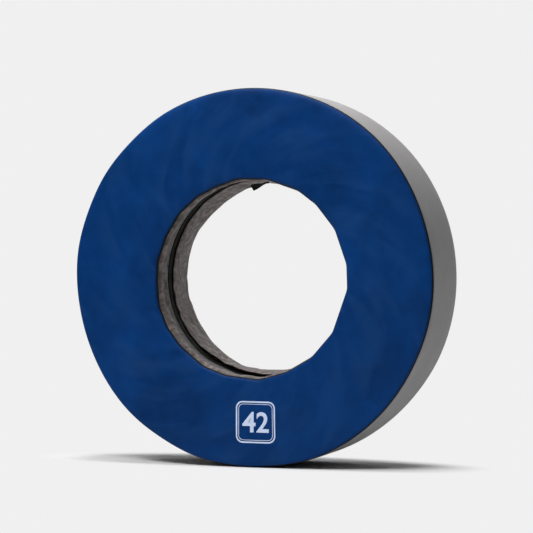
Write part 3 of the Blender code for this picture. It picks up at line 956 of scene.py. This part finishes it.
def seam_rows(seam, side):
    """The hidden rows of a skin in a seam, from its cut edge to the foot of the welt."""
    reach = (welt_radius + 2 * touch_gap) * -math.cos(welt_arc)
    return [
        seam_place(seam, seam_allowance, side * touch_gap / 2),
        seam_place(seam, reach + 5 * touch_gap, side * touch_gap / 2),
        seam_place(seam, reach + touch_gap, side * 2 * touch_gap),
    ]


print("the front panel leaves the rim's welt at", np.round(round_welt(("outer", "front"), -1, lip_hug)[-1], 4))

# %% [markdown]
# ## The two faces
# A face is a flat annulus. The front one swells round both corners and comes back to its seams, while the rear one
# only rolls down to its welts. They get different pulls, because no two sides of a sewn cover wrinkle alike. The
# corners' pairs are written from the middle of the sheet to its seam.

# %% Sew the face panels
face_cell = 0.0135
front_rim_turn = [
    (0.0300, 0.0002), (0.0195, 0.0007), (0.0122, 0.0016), (0.0072, 0.0027), (0.0043, 0.0040), (0.0028, 0.0056),
    (0.0025, 0.0076), (0.0030, 0.0098),
]
front_bore_turn = [
    (0.0270, 0.0002), (0.0188, 0.0008), (0.0138, 0.0018), (0.0106, 0.0031), (0.0085, 0.0047), (0.0075, 0.0065),
]
rear_roll = [(0.0320, 0.0003), (0.0200, 0.0008), (0.0115, 0.0017), (0.0060, 0.0027)]


def face_corner(ring, end):
    """Rows of a face from its flat part to the foot of its welt."""
    seam = (ring, end)
    if end == "front":
        turn = front_rim_turn if ring == "outer" else front_bore_turn
        return corner_places(ring, turn) + round_welt(seam, -1, lip_hug)[::-1]
    outwards = -1 if ring == "outer" else 1
    roll = [(seams[seam][0] + outwards * away, drop - half_width) for away, drop in rear_roll]
    return roll + round_welt(seam, -1, roll_hug)[::-1]


def face_section(end):
    """Rows of a face, given at the front, from the bore's welt to the rim's."""
    inside = face_corner("bore", end)[::-1]
    outside = face_corner("outer", end)
    count = round((outside[0][0] - inside[-1][0]) / face_cell)
    flat = np.linspace(inside[-1][0], outside[0][0], count + 1)[1:-1]
    return inside + [(radius, -half_width) for radius in flat] + outside


def section_width(rows):
    """The length of a sheet's section, which is the width of its flat strip."""
    return sum(math.dist(a, b) for part in rows for a, b in zip(part, part[1:]))


def finish_sheet(name, grids, finish, **flat):
    """Joins a sheet's grids into a skin and dresses it. The flat blank's sizes are not used."""
    sheet = skin(name + "_skin", np.concatenate(grids, axis=1), finish, vinyl_thickness)
    dress(sheet, finish, name)
    return sheet


def make_face(name, end, seed, share):
    rows = [seam_rows(("bore", end), -1), face_section(end), seam_rows(("outer", end), -1)[::-1]]
    if end == "rear":
        rows = [mirrored(part) for part in rows[::-1]]
    inner, face, outer = [shaped(part) for part in rows]
    sewn = (6, 6) if end == "front" else (1, 1)
    settled = settle_cloth(face, pull=0.0034, slack=0.001, pressure=1.0, seed=seed, sewn=sewn)
    face = on_foam(face, settled, cap=0.0034, dent=0.0005, share=share)
    cut = 2 * (outer_radius + seam_allowance)
    area = math.pi * ((cut / 2) ** 2 - (bore_radius - seam_allowance / 2) ** 2)
    return finish_sheet(name, [inner, face, outer], "blue_vinyl", flat=(cut, cut), area=area)


front_panel = make_face("front_panel", "front", 3, 0.55)
make_face("rear_panel", "rear", 21, 0.6)

# %% [markdown]
# ## The tread
# The strip round the outside is smooth and pale. It is wide and tight, so it only shows the faintest waviness. It
# rises gently from the front welt and turns over the rear corner to the other one.

# %% Sew the tread
tread_cell = 0.0107
tread_rise = [(0.0001, 0.0315), (0.0005, 0.0275), (0.0012, 0.0240), (0.0024, 0.0210)]
tread_turn = [
    (0.0001, 0.0190), (0.0005, 0.0145), (0.0011, 0.0105), (0.0018, 0.0072), (0.0032, 0.0042), (0.0054, 0.0023),
    (0.0074, 0.0024),
]


def tread_section():
    """Rows from the front welt's foot across the tread to the rear one's."""
    front = corner_places("outer", tread_rise) + round_welt(("outer", "front"), 1, welt_degrees)[::-1]
    rear = corner_places("outer", tread_turn) + round_welt(("outer", "rear"), 1, lip_hug)[::-1]
    count = round((-rear[0][1] - front[0][1]) / tread_cell)
    flat = np.linspace(front[0][1], -rear[0][1], count + 1)[1:-1]
    return front[::-1] + [(outer_radius, y) for y in flat] + mirrored(rear[::-1])


def make_tread():
    rows = [seam_rows(("outer", "front"), 1), tread_section(), mirrored(seam_rows(("outer", "rear"), 1))]
    front, middle, rear = [shaped(part) for part in rows]
    settled = settle_cloth(middle, pull=0.0012, slack=0.0002, pressure=0.6, seed=12, sewn=(2, 5))
    middle = on_foam(middle, settled, cap=0.0012, dent=0.0002, share=0.35)
    middle[..., 2] = np.maximum(middle[..., 2], floor_level)
    flat = (section_width(rows), math.tau * outer_radius)
    finish_sheet("tread_band", [front, middle, rear], "grey_vinyl", flat=flat)


make_tread()

# %% [markdown]
# ## The bore's lining
# Two strips line the bore, and each ends in a hem on the zip's tape. A strip that curves inwards has more cloth than
# it needs, so it puckers between the hem and the welt. It is given more slack than the faces. Its places run from
# the hem to the welt for the front strip and from the welt to the hem for the rear one, with the lit side towards
# the axis.

# %% Sew the lining
lining_cell = 0.0075
hem_stitch_inset = 0.0040
hem_radius = tape_inner - vinyl_thickness - touch_gap
hem_wander = {"front": 0.0014, "rear": 0.0038}
hem_waves = {"front": (5, 18), "rear": (16, 44)}
lip_lift = {"front": 0.0002, "rear": 0.0062}
lip_mean = 0.55
lip_swing = 0.45
bottom_swell = {"front": 0.0, "rear": 0.0075}
swell_middle = math.radians(250)
swell_reach = (math.radians(10), math.radians(34))
lining_turns = {
    "front": [(0.0002, 0.0330), (0.0008, 0.0290), (0.0019, 0.0255), (0.0038, 0.0222), (0.0062, 0.0192)],
    "rear": [
        (0.0001, 0.0190), (0.0002, 0.0130), (0.0004, 0.0090), (0.0011, 0.0058), (0.0026, 0.0034), (0.0046, 0.0023),
        (0.0068, 0.0024),
    ],
}
lining_hug = {"front": welt_degrees, "rear": lip_hug}
lining_dip = 0.040
hem_fade = (0.004, 0.035)


def lining_section(end, hem):
    """Rows of a strip, given at the front, from its hem to the welt. The second is where the hem is stitched."""
    seam = ("bore", end)
    near_welt = corner_places("bore", lining_turns[end]) + round_welt(seam, 1, lining_hug[end])[::-1]
    start = hem - hem_stitch_inset
    count = round((start - near_welt[0][1]) / lining_cell)
    middle = np.linspace(start, near_welt[0][1], count + 1)[:-1]
    section = []
    for y in [hem, *middle]:
        dip = 1 - eased(hem - y, 0, lining_dip)
        section.append((bore_radius + (hem_radius - bore_radius) * dip, y))
    return section + near_welt


def towards_axis(places):
    """Unit vectors from places to the wheel's axis."""
    inwards = places * (-1, 0, -1)
    return inwards / np.linalg.norm(inwards, axis=-1, keepdims=True)


def wander_hem(places, end, hem_row, seed):
    """Shifts the rows near a hem to and fro, lifts the free lip, and swells the strip behind it near the floor."""
    y = places[0, :, 1]
    near = 1 - eased(np.abs(y - y[hem_row]), *hem_fade)
    places = places.copy()
    places[..., 1] += np.outer(hem_wander[end] * uneven(seed, *hem_waves[end]), near)
    lift = lip_lift[end] * (lip_mean + lip_swing * uneven(seed + 1, *hem_waves[end]))
    inwards = towards_axis(places)
    places[:, hem_row] += inwards[:, hem_row] * lift[:, None]
    away = np.abs((ring_angles - swell_middle + math.pi) % math.tau - math.pi)
    swell = bottom_swell[end] * (1 - eased(away, *swell_reach))
    places += inwards * np.outer(swell, near)[..., None]
    return places


def make_lining(end, seed):
    """Makes a strip and returns the row where its hem is stitched."""
    at_rear = end == "rear"
    hem = -rear_hem if at_rear else front_hem
    rows = [lining_section(end, hem), seam_rows(("bore", end), 1)[::-1]]
    if at_rear:
        rows = [mirrored(part) for part in rows[::-1]]
    grids = [shaped(part) for part in rows]
    face, hem_row, stitch = (1, -1, -2) if at_rear else (0, 0, 1)
    grids[face] = wander_hem(grids[face], end, hem_row, seed)
    sewn = (5, 2) if at_rear else (2, 1)
    settled = settle_cloth(grids[face], pull=0.0045, slack=0.016, pressure=1.2, seed=seed, bending=2, sewn=sewn)
    grids[face] = on_foam(grids[face], settled, cap=0.0042, dent=0.0003, share=0.9, passes=1)
    finish_sheet(f"bore_band_{end}", grids, "lining_vinyl", flat=(section_width(rows), math.tau * bore_radius))
    return grids[face][:, stitch]


stitch_rows = {end: make_lining(end, seed) for end, seed in (("front", 7), ("rear", 31))}

# %% [markdown]
# ## Welts and their fillers
# A welt is a strip of black vinyl folded round a filler cord and caught in the seam. Seen from outside it is a thin
# dark line that hides where two colours meet. The strip is drawn as an open C with its real thickness.

# %% Sew the welts
welt_strip_thickness = 0.0009
welt_points = 22


def welt_ring(seam, radius, shares):
    """Points round a welt's middle, from one end of the open C to the other."""
    turns = [(-math.cos(welt_arc * share), math.sin(welt_arc * share)) for share in shares]
    return [seam_place(seam, radius * depth, radius * across) for depth, across in turns]


def make_welts():
    shares = np.linspace(1, -1, welt_points)
    inside = welt_radius - welt_strip_thickness
    full_turn = np.linspace(1, -1, welt_points + 1)[:-1] * math.pi / welt_arc
    for seam in seams:
        ring, end = seam
        strip = welt_ring(seam, welt_radius, shares) + welt_ring(seam, inside, shares[::-1])
        cord = welt_ring(seam, inside - touch_gap, full_turn)
        if end == "rear":
            strip, cord = mirrored(strip), mirrored(cord)
        welt = f"{ring}_welt_{end}"
        filler = f"{ring}_filler_{end}"
        piece = grid_object(welt + "_sewn", shaped(strip), "black_vinyl", closed_across=True)
        dress(face_outwards(piece), "black_vinyl", welt)
        piece = grid_object(filler + "_cord", shaped(cord), "filler", closed_across=True)
        dress(face_outwards(piece), "filler", filler)


make_welts()

# %% [markdown]
# ## The foam
# Three glued rings of foam fill the cover. They can't be seen, but they are what the wheel is made of, so they get a
# smooth round section, a foam finish and the same bends as the skins over them. The outer two have their corners cut
# back for the seams' allowances, as a foam cutter would do with one slanting cut each.

# %% Cut the foam rings
foam_round = 0.0015
foam_cover = 0.0021
foam_shoulder = 0.0012
face_roll = 0.050
foam_cuts = {"front": (0.0240, 0.0270), "rear": (0.0180, 0.0250)}


def softened(outline, radius, points=3):
    """A closed outline with its corners rounded."""
    result = []
    for index, corner in enumerate(outline):
        here = Vector(corner)
        before = (Vector(outline[index - 1]) - here).normalized()
        after = (Vector(outline[(index + 1) % len(outline)]) - here).normalized()
        for step in range(points + 1):
            share = step / points
            start, end = here + before * radius, here + after * radius
            result.append(tuple((1 - share) ** 2 * start + 2 * share * (1 - share) * here + share**2 * end))
    return result


def slab_section(end):
    """An outer slab's section, given at the front."""
    joint = ring_size("foam_slab_front")[3]
    crown = -half_width + foam_cover
    shoulder = crown + foam_shoulder
    bore_cut, rim_cut = foam_cuts[end]
    return [
        (foam_bore, joint), (foam_bore, shoulder + bore_cut), (foam_bore + bore_cut, shoulder),
        (foam_bore + bore_cut + face_roll, crown), (foam_outer - rim_cut - face_roll, crown),
        (foam_outer - rim_cut, shoulder), (foam_outer, shoulder + rim_cut), (foam_outer, joint),
    ]


def make_foam():
    middle = ring_size("foam_slab_middle")[3]
    block = [(foam_bore, -middle), (foam_outer, -middle), (foam_outer, middle), (foam_bore, middle)]
    for name, outline in (
        ("foam_slab_front", slab_section("front")),
        ("foam_slab_middle", block),
        ("foam_slab_rear", mirrored(slab_section("rear"))),
    ):
        ring = grid_object(name + "_ring", shaped(softened(outline, foam_round)), "foam", closed_across=True)
        dress(face_outwards(ring), "foam", name)


make_foam()

# %% [markdown]
# ## Rows of small things along a path
# Teeth and stitches both repeat along a line. Geometry Nodes suit that: a path becomes a curve, the curve is cut at
# an even pitch, and one small item is placed at each cut, turned to the path's direction and to the surface's
# normal, which the path carries as an attribute. The result is turned into a plain mesh.

# %% Build the row tree
def build_row_tree():
    tree = bpy.data.node_groups.new("row_along_path", "GeometryNodeTree")
    sockets = (("Path", "Geometry"), ("Item", "Object"), ("Pitch", "Float"), ("Finish", "Material"))
    identifiers = {}
    for label, kind in sockets:
        socket = tree.interface.new_socket(label, in_out="INPUT", socket_type=f"NodeSocket{kind}")
        identifiers[label] = socket.identifier
    tree.interface.new_socket("Row", in_out="OUTPUT", socket_type="NodeSocketGeometry")
    given = add_node(tree, "NodeGroupInput").outputs
    curve = add_node(tree, "GeometryNodeMeshToCurve", {"Mesh": given["Path"]})
    cut = add_node(tree, "GeometryNodeResampleCurve", {"Curve": curve.outputs[0]}, mode="LENGTH")
    tree.links.new(given["Pitch"], cut.inputs["Length"])
    normal = add_node(tree, "GeometryNodeInputNamedAttribute", {"Name": "row_normal"}, data_type="FLOAT_VECTOR")
    tangent = add_node(tree, "GeometryNodeInputTangent")
    upright = add_node(tree, "FunctionNodeAlignRotationToVector", {"Vector": normal.outputs[0]}, axis="Z")
    aimed = {"Rotation": upright.outputs[0], "Vector": tangent.outputs[0]}
    turned = add_node(tree, "FunctionNodeAlignRotationToVector", aimed, axis="X", pivot_axis="Z")
    item = add_node(tree, "GeometryNodeObjectInfo", {"Object": given["Item"]})
    placing = {"Points": cut.outputs[0], "Instance": item.outputs["Geometry"], "Rotation": turned.outputs[0]}
    placed = add_node(tree, "GeometryNodeInstanceOnPoints", placing)
    real = add_node(tree, "GeometryNodeRealizeInstances", {"Geometry": placed.outputs[0]})
    finished = add_node(tree, "GeometryNodeSetMaterial", {"Geometry": real.outputs[0], "Material": given["Finish"]})
    add_node(tree, "NodeGroupOutput", {"Row": finished.outputs[0]})
    return tree, identifiers


row_tree, row_inputs = build_row_tree()
print("row tree has", len(row_tree.nodes), "nodes")


def row_along(name, path, normals, item, pitch, finish, closed=False):
    """A plain mesh of items at an even pitch along a path."""
    mesh = bpy.data.meshes.new(name)
    count = len(path)
    edges = [(index, (index + 1) % count) for index in range(count if closed else count - 1)]
    mesh.from_pydata([tuple(point) for point in path], edges, [])
    carried = mesh.attributes.new("row_normal", "FLOAT_VECTOR", "POINT")
    carried.data.foreach_set("vector", np.array(normals, np.float32).reshape(-1))
    made = add_object(name, mesh)
    nodes = add_modifier(made, "row", "NODES", node_group=row_tree)
    nodes[row_inputs["Item"]] = item
    nodes[row_inputs["Pitch"]] = pitch
    nodes[row_inputs["Finish"]] = finishes[finish]
    result = bpy.data.meshes.new_from_object(made.evaluated_get(bpy.context.evaluated_depsgraph_get()))
    made.modifiers.clear()
    made.data = result
    result.name = name
    print(name, len(result.polygons), "faces")
    return made


# %% [markdown]
# A stitch is a short, fat, slightly sunken loop of thread. A dozen sides would be wasted on something this small, so
# it has six.

# %% Shape one stitch
def small_item(name, data):
    """A hidden object that a row repeats."""
    bmesh.ops.recalc_face_normals(data, faces=data.faces)
    mesh = bpy.data.meshes.new(name)
    data.to_mesh(mesh)
    data.free()
    mesh.shade_smooth()
    return bpy.data.objects.new(name, mesh)


def shape_stitch(length, thickness):
    """A stitch along X with its ends diving into the cloth."""
    data = bmesh.new()
    rings = []
    for share, lift, size in ((-0.5, -0.6, 0.55), (-0.3, 0.05, 0.9), (0, 0.2, 1), (0.3, 0.05, 0.9), (0.5, -0.6, 0.55)):
        ring = []
        for side in range(6):
            angle = math.tau * side / 6
            across = math.cos(angle) * thickness / 2 * size
            up = (math.sin(angle) * size / 2 + lift) * thickness
            ring.append(data.verts.new((share * length, across, up)))
        rings.append(ring)
    for first, second in zip(rings, rings[1:]):
        for side in range(6):
            after = (side + 1) % 6
            data.faces.new((first[side], first[after], second[after], second[side]))
    data.faces.new(rings[0])
    data.faces.new(rings[-1])
    return small_item("stitch", data)


stitch_pitch = 0.0040
stitch_item = shape_stitch(0.0031, 0.0009)
print("a stitch is", len(stitch_item.data.polygons), "faces")

# %% [markdown]
# ## The zip
# The tapes are woven strips, a little thicker at the edge that the teeth grip. Moulded teeth sit at a coarse pitch
# on both tapes, those of one row opposite the gaps of the other. The real slider parts and joins them. Here the
# rows stay a hair apart, so that the slider's post can travel between them at every pose.

# %% Lay the tapes
def zip_ends():
    """The angles where the zip starts and ends, found as the one wide gap between the tape's corners."""
    places = node_places("zip_tape_front")
    corners = np.unique(np.round(np.degrees(np.arctan2(places[:, 2], places[:, 0])) % 360, 1))
    gaps = np.diff(np.append(corners, corners[0] + 360))
    widest = int(gaps.argmax())
    start, stop = math.radians(corners[(widest + 1) % len(corners)]), math.radians(corners[widest] + 360)
    return start, (stop - math.tau if stop - start > math.tau else stop)


zip_start, zip_stop = zip_ends()
zip_steps = 300
zip_arc = np.linspace(zip_start, zip_stop, zip_steps)
print("zip runs from", round(math.degrees(zip_start), 1), "to", round(math.degrees(zip_stop), 1), "degrees")


def on_arc(section, angles):
    """A grid for a section turned through some angles, without the cover's bends."""
    radius, y = np.array(section, float).T
    radius, across = np.broadcast_arrays(radius, y + np.zeros((len(angles), 1)))
    return np.stack([radius * np.cos(angles)[:, None], across, radius * np.sin(angles)[:, None]], axis=-1)


def capped(piece):
    """Closes the two open ends of a part ring."""
    with edited(piece.data) as data:
        bmesh.ops.holes_fill(data, edges=[edge for edge in data.edges if edge.is_boundary])
        bmesh.ops.recalc_face_normals(data, faces=data.faces)
    return piece


bead_height = 0.0004
bead_width = 0.0016


def make_tapes():
    for end, side, far in (("front", -1, front_tape_edge), ("rear", 1, rear_tape_edge)):
        near = zip_plane + side * (row_reach + touch_gap)
        bead = near + side * bead_width
        outline = [
            (tape_inner - bead_height, near), (tape_inner - bead_height, near + side * bead_width / 2),
            (tape_inner, bead), (tape_inner, far), (tape_outer, far), (tape_outer, bead),
            (tape_outer + bead_height, near + side * bead_width / 2), (tape_outer + bead_height, near),
        ]
        name = f"zip_tape_{end}"
        places = on_arc(outline, zip_arc)
        tape = grid_object(name + "_woven", places, "zip_tape", closed_round=False, closed_across=True)
        dress(capped(tape), "zip_tape", name)


make_tapes()

# %% Mould the teeth
tooth_pitch = 0.0040
tooth_width = 0.0023
tooth_head = 0.0005
tooth_bevel = 0.0004


def shape_tooth():
    """A tooth along Y: a wide foot that grips the tape, a waist, and a rounded head at the far end."""
    height = row_outer - row_inner - touch_gap
    side = [(tooth_width / 2 * share, y) for share, y in (
        (1, 0), (1, row_reach * 0.36), (0.55, row_reach * 0.5), (0.62, row_reach * 0.62), (0.95, row_reach * 0.74),
        (0.8, row_reach - tooth_head),
    )]
    outline = [(-half, y) for half, y in side[:1]] + side + [(-half, y) for half, y in side[:0:-1]]
    data = bmesh.new()
    foot = data.faces.new([data.verts.new((along, across, -height / 2)) for along, across in outline])
    grown = bmesh.ops.extrude_face_region(data, geom=[foot])
    moved = [item for item in grown["geom"] if isinstance(item, bmesh.types.BMVert)]
    bmesh.ops.translate(data, verts=moved, vec=(0, 0, height))
    rims = [edge for edge in data.edges if abs(edge.verts[0].co.z - edge.verts[1].co.z) < tooth_bevel]
    bmesh.ops.bevel(data, geom=rims, offset=tooth_bevel, segments=1, affect="EDGES")
    return small_item("tooth", data)


tooth_item = shape_tooth()
tooth_item.data.shade_flat()


def make_teeth():
    """Each row starts at the outer edge of its teeth and points at the middle of the zip."""
    radius = (row_inner + row_outer) / 2
    pitch_angle = tooth_pitch / radius
    margin = 3 * pitch_angle
    for end, side in (("front", -1), ("rear", 1)):
        first = zip_start + margin + (pitch_angle / 2 if side > 0 else 0)
        last = zip_stop - margin
        angles = np.linspace(first, last, zip_steps)
        if side > 0:
            angles = angles[::-1]
        path = on_arc([(radius, zip_plane + side * row_reach)], angles)[:, 0]
        normals = [(-place[0], 0, -place[2]) for place in path]
        name = f"zip_teeth_{end}"
        row = row_along(name + "_moulded", path, normals, tooth_item, tooth_pitch, "zip_teeth")
        dress(row, "zip_teeth", name)


make_teeth()

# %% [markdown]
# ## The panel between the zip's ends
# A zip can't run through its own ends, so a short piece of lining vinyl joins the two strips there.

# %% Lay the end panel
panel_steps = 24
panel_rows = 10


def make_end_panel():
    inner, outer, low, high = ring_size("zip_end_panel")
    angles = np.linspace(zip_stop, zip_start + math.tau, panel_steps + 2)[1:-1]
    section = [(inner, y) for y in np.linspace(low, high, panel_rows)]
    section += [(outer, y) for y in np.linspace(high, low, panel_rows)]
    places = on_arc(section, angles)
    panel = grid_object("zip_end_panel_skin", places, "lining_vinyl", closed_round=False, closed_across=True)
    dress(capped(panel), "lining_vinyl", "zip_end_panel")


make_end_panel()

# %% [markdown]
# ## Stitches
# The hems are sewn to the tape with one row of dark thread each. The paths are the rows of the simulated lining
# that lie on the stitch line, so the stitches follow every pucker.

# %% Sew the hems
thread_lift = 0.0001


def make_hem_stitches():
    for end, path in stitch_rows.items():
        inwards = towards_axis(path)
        raised = path + inwards * thread_lift
        row = row_along(f"hem_stitches_{end}", raised, inwards, stitch_item, stitch_pitch, "thread", closed=True)
        dress(row, "lining_vinyl")


make_hem_stitches()

# %% [markdown]
# ## Hard parts of the zip
# The slider, the pull and the two stops keep their CAD shape, since they are rigid and exact. A copy of each has its
# loose triangles merged and its edges rounded, because a cast part has no knife edges and the roundings are what
# catch the light.

# %% Round the castings
edge_rounding = 0.0003
merge_distance = 0.00001
flat_limit = math.radians(1)


def round_edges(piece, sharper_than, **settings):
    """Rounds the edges that are sharper than an angle in degrees."""
    limit = math.radians(sharper_than)
    settings = {"width": edge_rounding, "segments": 2, "limit_method": "ANGLE", "angle_limit": limit, **settings}
    add_modifier(piece, "rounding", "BEVEL", **settings)


def rounded_copy(node, body):
    mesh = frame["nodes"][node].data.copy()
    mesh.name = node + "_cast"
    with edited(mesh) as data:
        bmesh.ops.remove_doubles(data, verts=data.verts, dist=merge_distance)
        bmesh.ops.dissolve_limit(data, angle_limit=flat_limit, verts=data.verts, edges=data.edges)
    mesh.materials.clear()
    mesh.materials.append(finishes["zip_metal"])
    mesh.shade_smooth()
    piece = add_object(node + "_cast", mesh)
    round_edges(piece, 30, harden_normals=True)
    return dress(piece, "zip_metal", node, body=body)


castings = {"zip_slider": "slider", "zip_pull": "pull", "zip_stop_closed": "wheel", "zip_stop_open": "wheel"}
for casting, casting_body in castings.items():
    rounded_copy(casting, casting_body)

# %% [markdown]
# ## The pull tab
# A strip of webbing is folded through the pull's slot and sewn to itself. Webbing is stiff but not rigid, so below
# the fold the strip twists and curls a little, and that is why its flat side shows from the front. The strip is
# drawn in the pull's own frame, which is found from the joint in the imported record.

# %% Fold the webbing
pull_lean = math.radians(24)
tab_twist = math.radians(52)
tab_curl = 0.0012
tab_layer = 0.0011
tab_gap = 0.0001
tab_bar_inset = 0.0029
tab_loop_radius = 0.0017
tab_join = 0.0100
tab_steps = 40


def pull_frame():
    """The pull's own axes at rest: X along the pull, Y across it, Z towards the wheel's axis."""
    joint = next(item for item in frame["joints"] if item["name"] == "pull_swing")
    place = Vector(joint["pos_m"])
    angle = math.atan2(place.z, place.x)
    bore_turn = Matrix.Rotation(-angle - math.pi / 2, 4, "Y")
    return Matrix.Translation(place) @ bore_turn @ Matrix.Rotation(-pull_lean, 4, "Y")


def tab_reach():
    """Start, end and half width of the CAD tab in the pull's frame."""
    inverse = pull_frame().inverted()
    local = np.array([inverse @ Vector(place) for place in node_places("pull_tab")])
    return local[:, 0].min(), local[:, 0].max(), local[:, 1].max()


tab_start, tab_end, tab_half = tab_reach()
tab_sizes = [round(float(value) * 1000, 1) for value in (tab_start, tab_end, tab_half)]
print("tab start, end and half width in mm:", *tab_sizes)


def tab_line():
    """The strip's middle line in the pull's XZ plane: in along one layer, round the bar and out along the other."""
    bar = tab_start + tab_bar_inset
    loop = tab_loop_radius
    join = tab_start + tab_join
    rise = np.linspace(tab_end, join, tab_steps)
    near = np.linspace(join, bar, 8)[1:]
    gap = tab_layer / 2 + tab_gap
    lift = gap + (loop - gap) * eased(join - near, 0, join - bar)
    turn = np.linspace(math.pi / 2, 3 * math.pi / 2, 9)[1:-1]
    upper = [(x, gap) for x in rise] + list(zip(near, lift))
    bend = [(bar + loop * math.cos(a), loop * math.sin(a)) for a in turn]
    lower = [(x, -z) for x, z in upper[::-1]]
    return np.array(upper + bend + lower)


def make_tab():
    line = tab_line()
    shares = eased(line[:, 0], tab_start + tab_join, tab_end)
    widths = np.linspace(-tab_half, tab_half, 9)
    places = []
    for (along, height), share in zip(line, shares):
        twist = tab_twist * share
        curl = tab_curl * share**2
        for across in widths:
            y = across * math.cos(twist) - height * math.sin(twist)
            z = across * math.sin(twist) + height * math.cos(twist) + curl
            places.append(pull_frame() @ Vector((along, y, z)))
    grid = np.array(places).reshape(len(line), len(widths), 3)
    tab = grid_object("webbing_tab", grid, "webbing", closed_round=False)
    add_modifier(tab, "thickness", "SOLIDIFY", thickness=tab_layer, offset=0)
    round_edges(tab, 50)
    dress(tab, "webbing", "pull_tab", body="pull")


make_tab()

# %% [markdown]
# ## The printed mark
# The marked face carries a small white print near the floor: the wheel's size in inches in a plain rounded frame.
# Ink lies on the vinyl and follows its wrinkles, so the flat shapes are cut into small faces and each point is
# dropped onto the simulated panel.

# %% Print the size mark
mark_centre = (0.018, -0.405)
mark_frames = ((0.0590, 0.0200, 0.0042), (0.0515, 0.0145, 0.0016))
mark_digits = "42"
digit_height = 0.058
digit_weight = 0.018
ink_cell = 0.004
ink_lift = 0.00025
ink_film = 0.0002
ink_cuts = 6


def rounded_square(half, corner, points=8):
    outline = []
    for turn in range(4):
        middle = math.pi / 2 * turn
        centre = Vector((half - corner, half - corner))
        centre.rotate(Matrix.Rotation(middle, 2))
        for step in range(points + 1):
            angle = middle + math.pi / 2 * step / points
            outline.append((centre.x + corner * math.cos(angle), centre.y + corner * math.sin(angle)))
    return outline


def frame_mesh(data, half, corner, line):
    """A flat rounded square line."""
    outer = [data.verts.new((x, z, 0)) for x, z in rounded_square(half, corner)]
    inner = [data.verts.new((x, z, 0)) for x, z in rounded_square(half - line, corner - line)]
    count = len(outer)
    for index in range(count):
        after = (index + 1) % count
        data.faces.new((outer[index], outer[after], inner[after], inner[index]))


def digits_mesh(data, text, height):
    """Filled digits, centred on the origin."""
    curve = bpy.data.curves.new("digits", "FONT")
    set_all(curve, body=text, align_x="CENTER", align_y="CENTER", offset=digit_weight)
    letters = add_object("digits", curve)
    mesh = bpy.data.meshes.new_from_object(letters.evaluated_get(bpy.context.evaluated_depsgraph_get()))
    bpy.data.objects.remove(letters, do_unlink=True)
    points = np.array([vertex.co for vertex in mesh.vertices])
    low, high = points.min(axis=0), points.max(axis=0)
    middle = Vector((low + high) / 2)
    mesh.transform(Matrix.Scale(height / (high[1] - low[1]), 4) @ Matrix.Translation(-middle))
    data.from_mesh(mesh)
    bpy.data.meshes.remove(mesh)


print("the mark is", round(2000 * mark_frames[0][0]), "mm across")

# %% [markdown]
# The ink is slightly raised, matt and a little broken, as screen print on vinyl becomes.

# %% Mix the ink and lay it
def make_ink():
    finishes["white_ink"], tree, shader = add_material("white_ink")
    place = texture_place(tree)
    worn = stretched(tree, noise(tree, place, 190, detail=5, roughness=0.7), 0.62, 0.74)
    faded = times(tree, worn, 0.5)
    tree.links.new(mixed(tree, faded, level(196, 210, 236), level(70, 104, 160)), shader.inputs["Base Color"])
    tree.links.new(bump(tree, noise(tree, place, 800), 0.00004).outputs[0], shader.inputs["Normal"])
    shader.inputs["Roughness"].default_value = 0.6


make_ink()


def make_mark():
    data = bmesh.new()
    for half, corner, line in mark_frames:
        frame_mesh(data, half, corner, line)
    digits_mesh(data, mark_digits, digit_height)
    bmesh.ops.triangulate(data, faces=data.faces)
    for _ in range(ink_cuts):
        long_edges = [edge for edge in data.edges if edge.calc_length() > ink_cell]
        if not long_edges:
            break
        bmesh.ops.subdivide_edges(data, edges=long_edges, cuts=1)
        bmesh.ops.triangulate(data, faces=data.faces)
    surface = BVHTree.FromObject(front_panel, bpy.context.evaluated_depsgraph_get())
    for vert in data.verts:
        x, z = mark_centre[0] + vert.co.x, mark_centre[1] + vert.co.y
        hit = surface.ray_cast(Vector((x, cad_low.y - half_width, z)), Vector((0, 1, 0)))[0]
        vert.co = Vector((x, hit.y - ink_lift, z))
    mesh = bpy.data.meshes.new("size_mark")
    for face in data.faces:
        if face.normal.y > 0:
            face.normal_flip()
    data.normal_update()
    data.to_mesh(mesh)
    data.free()
    mesh.materials.append(finishes["white_ink"])
    mesh.shade_smooth()
    mark = add_object("size_mark", mesh)
    add_modifier(mark, "film", "SOLIDIFY", thickness=ink_film, offset=-1)
    dress(mark, "blue_vinyl")


make_mark()

# %% [markdown]
# ## Finish
# The picture's colours use the plain standard view transform.

# %% Set the view transform
bpy.context.scene.view_settings.view_transform = "Standard"
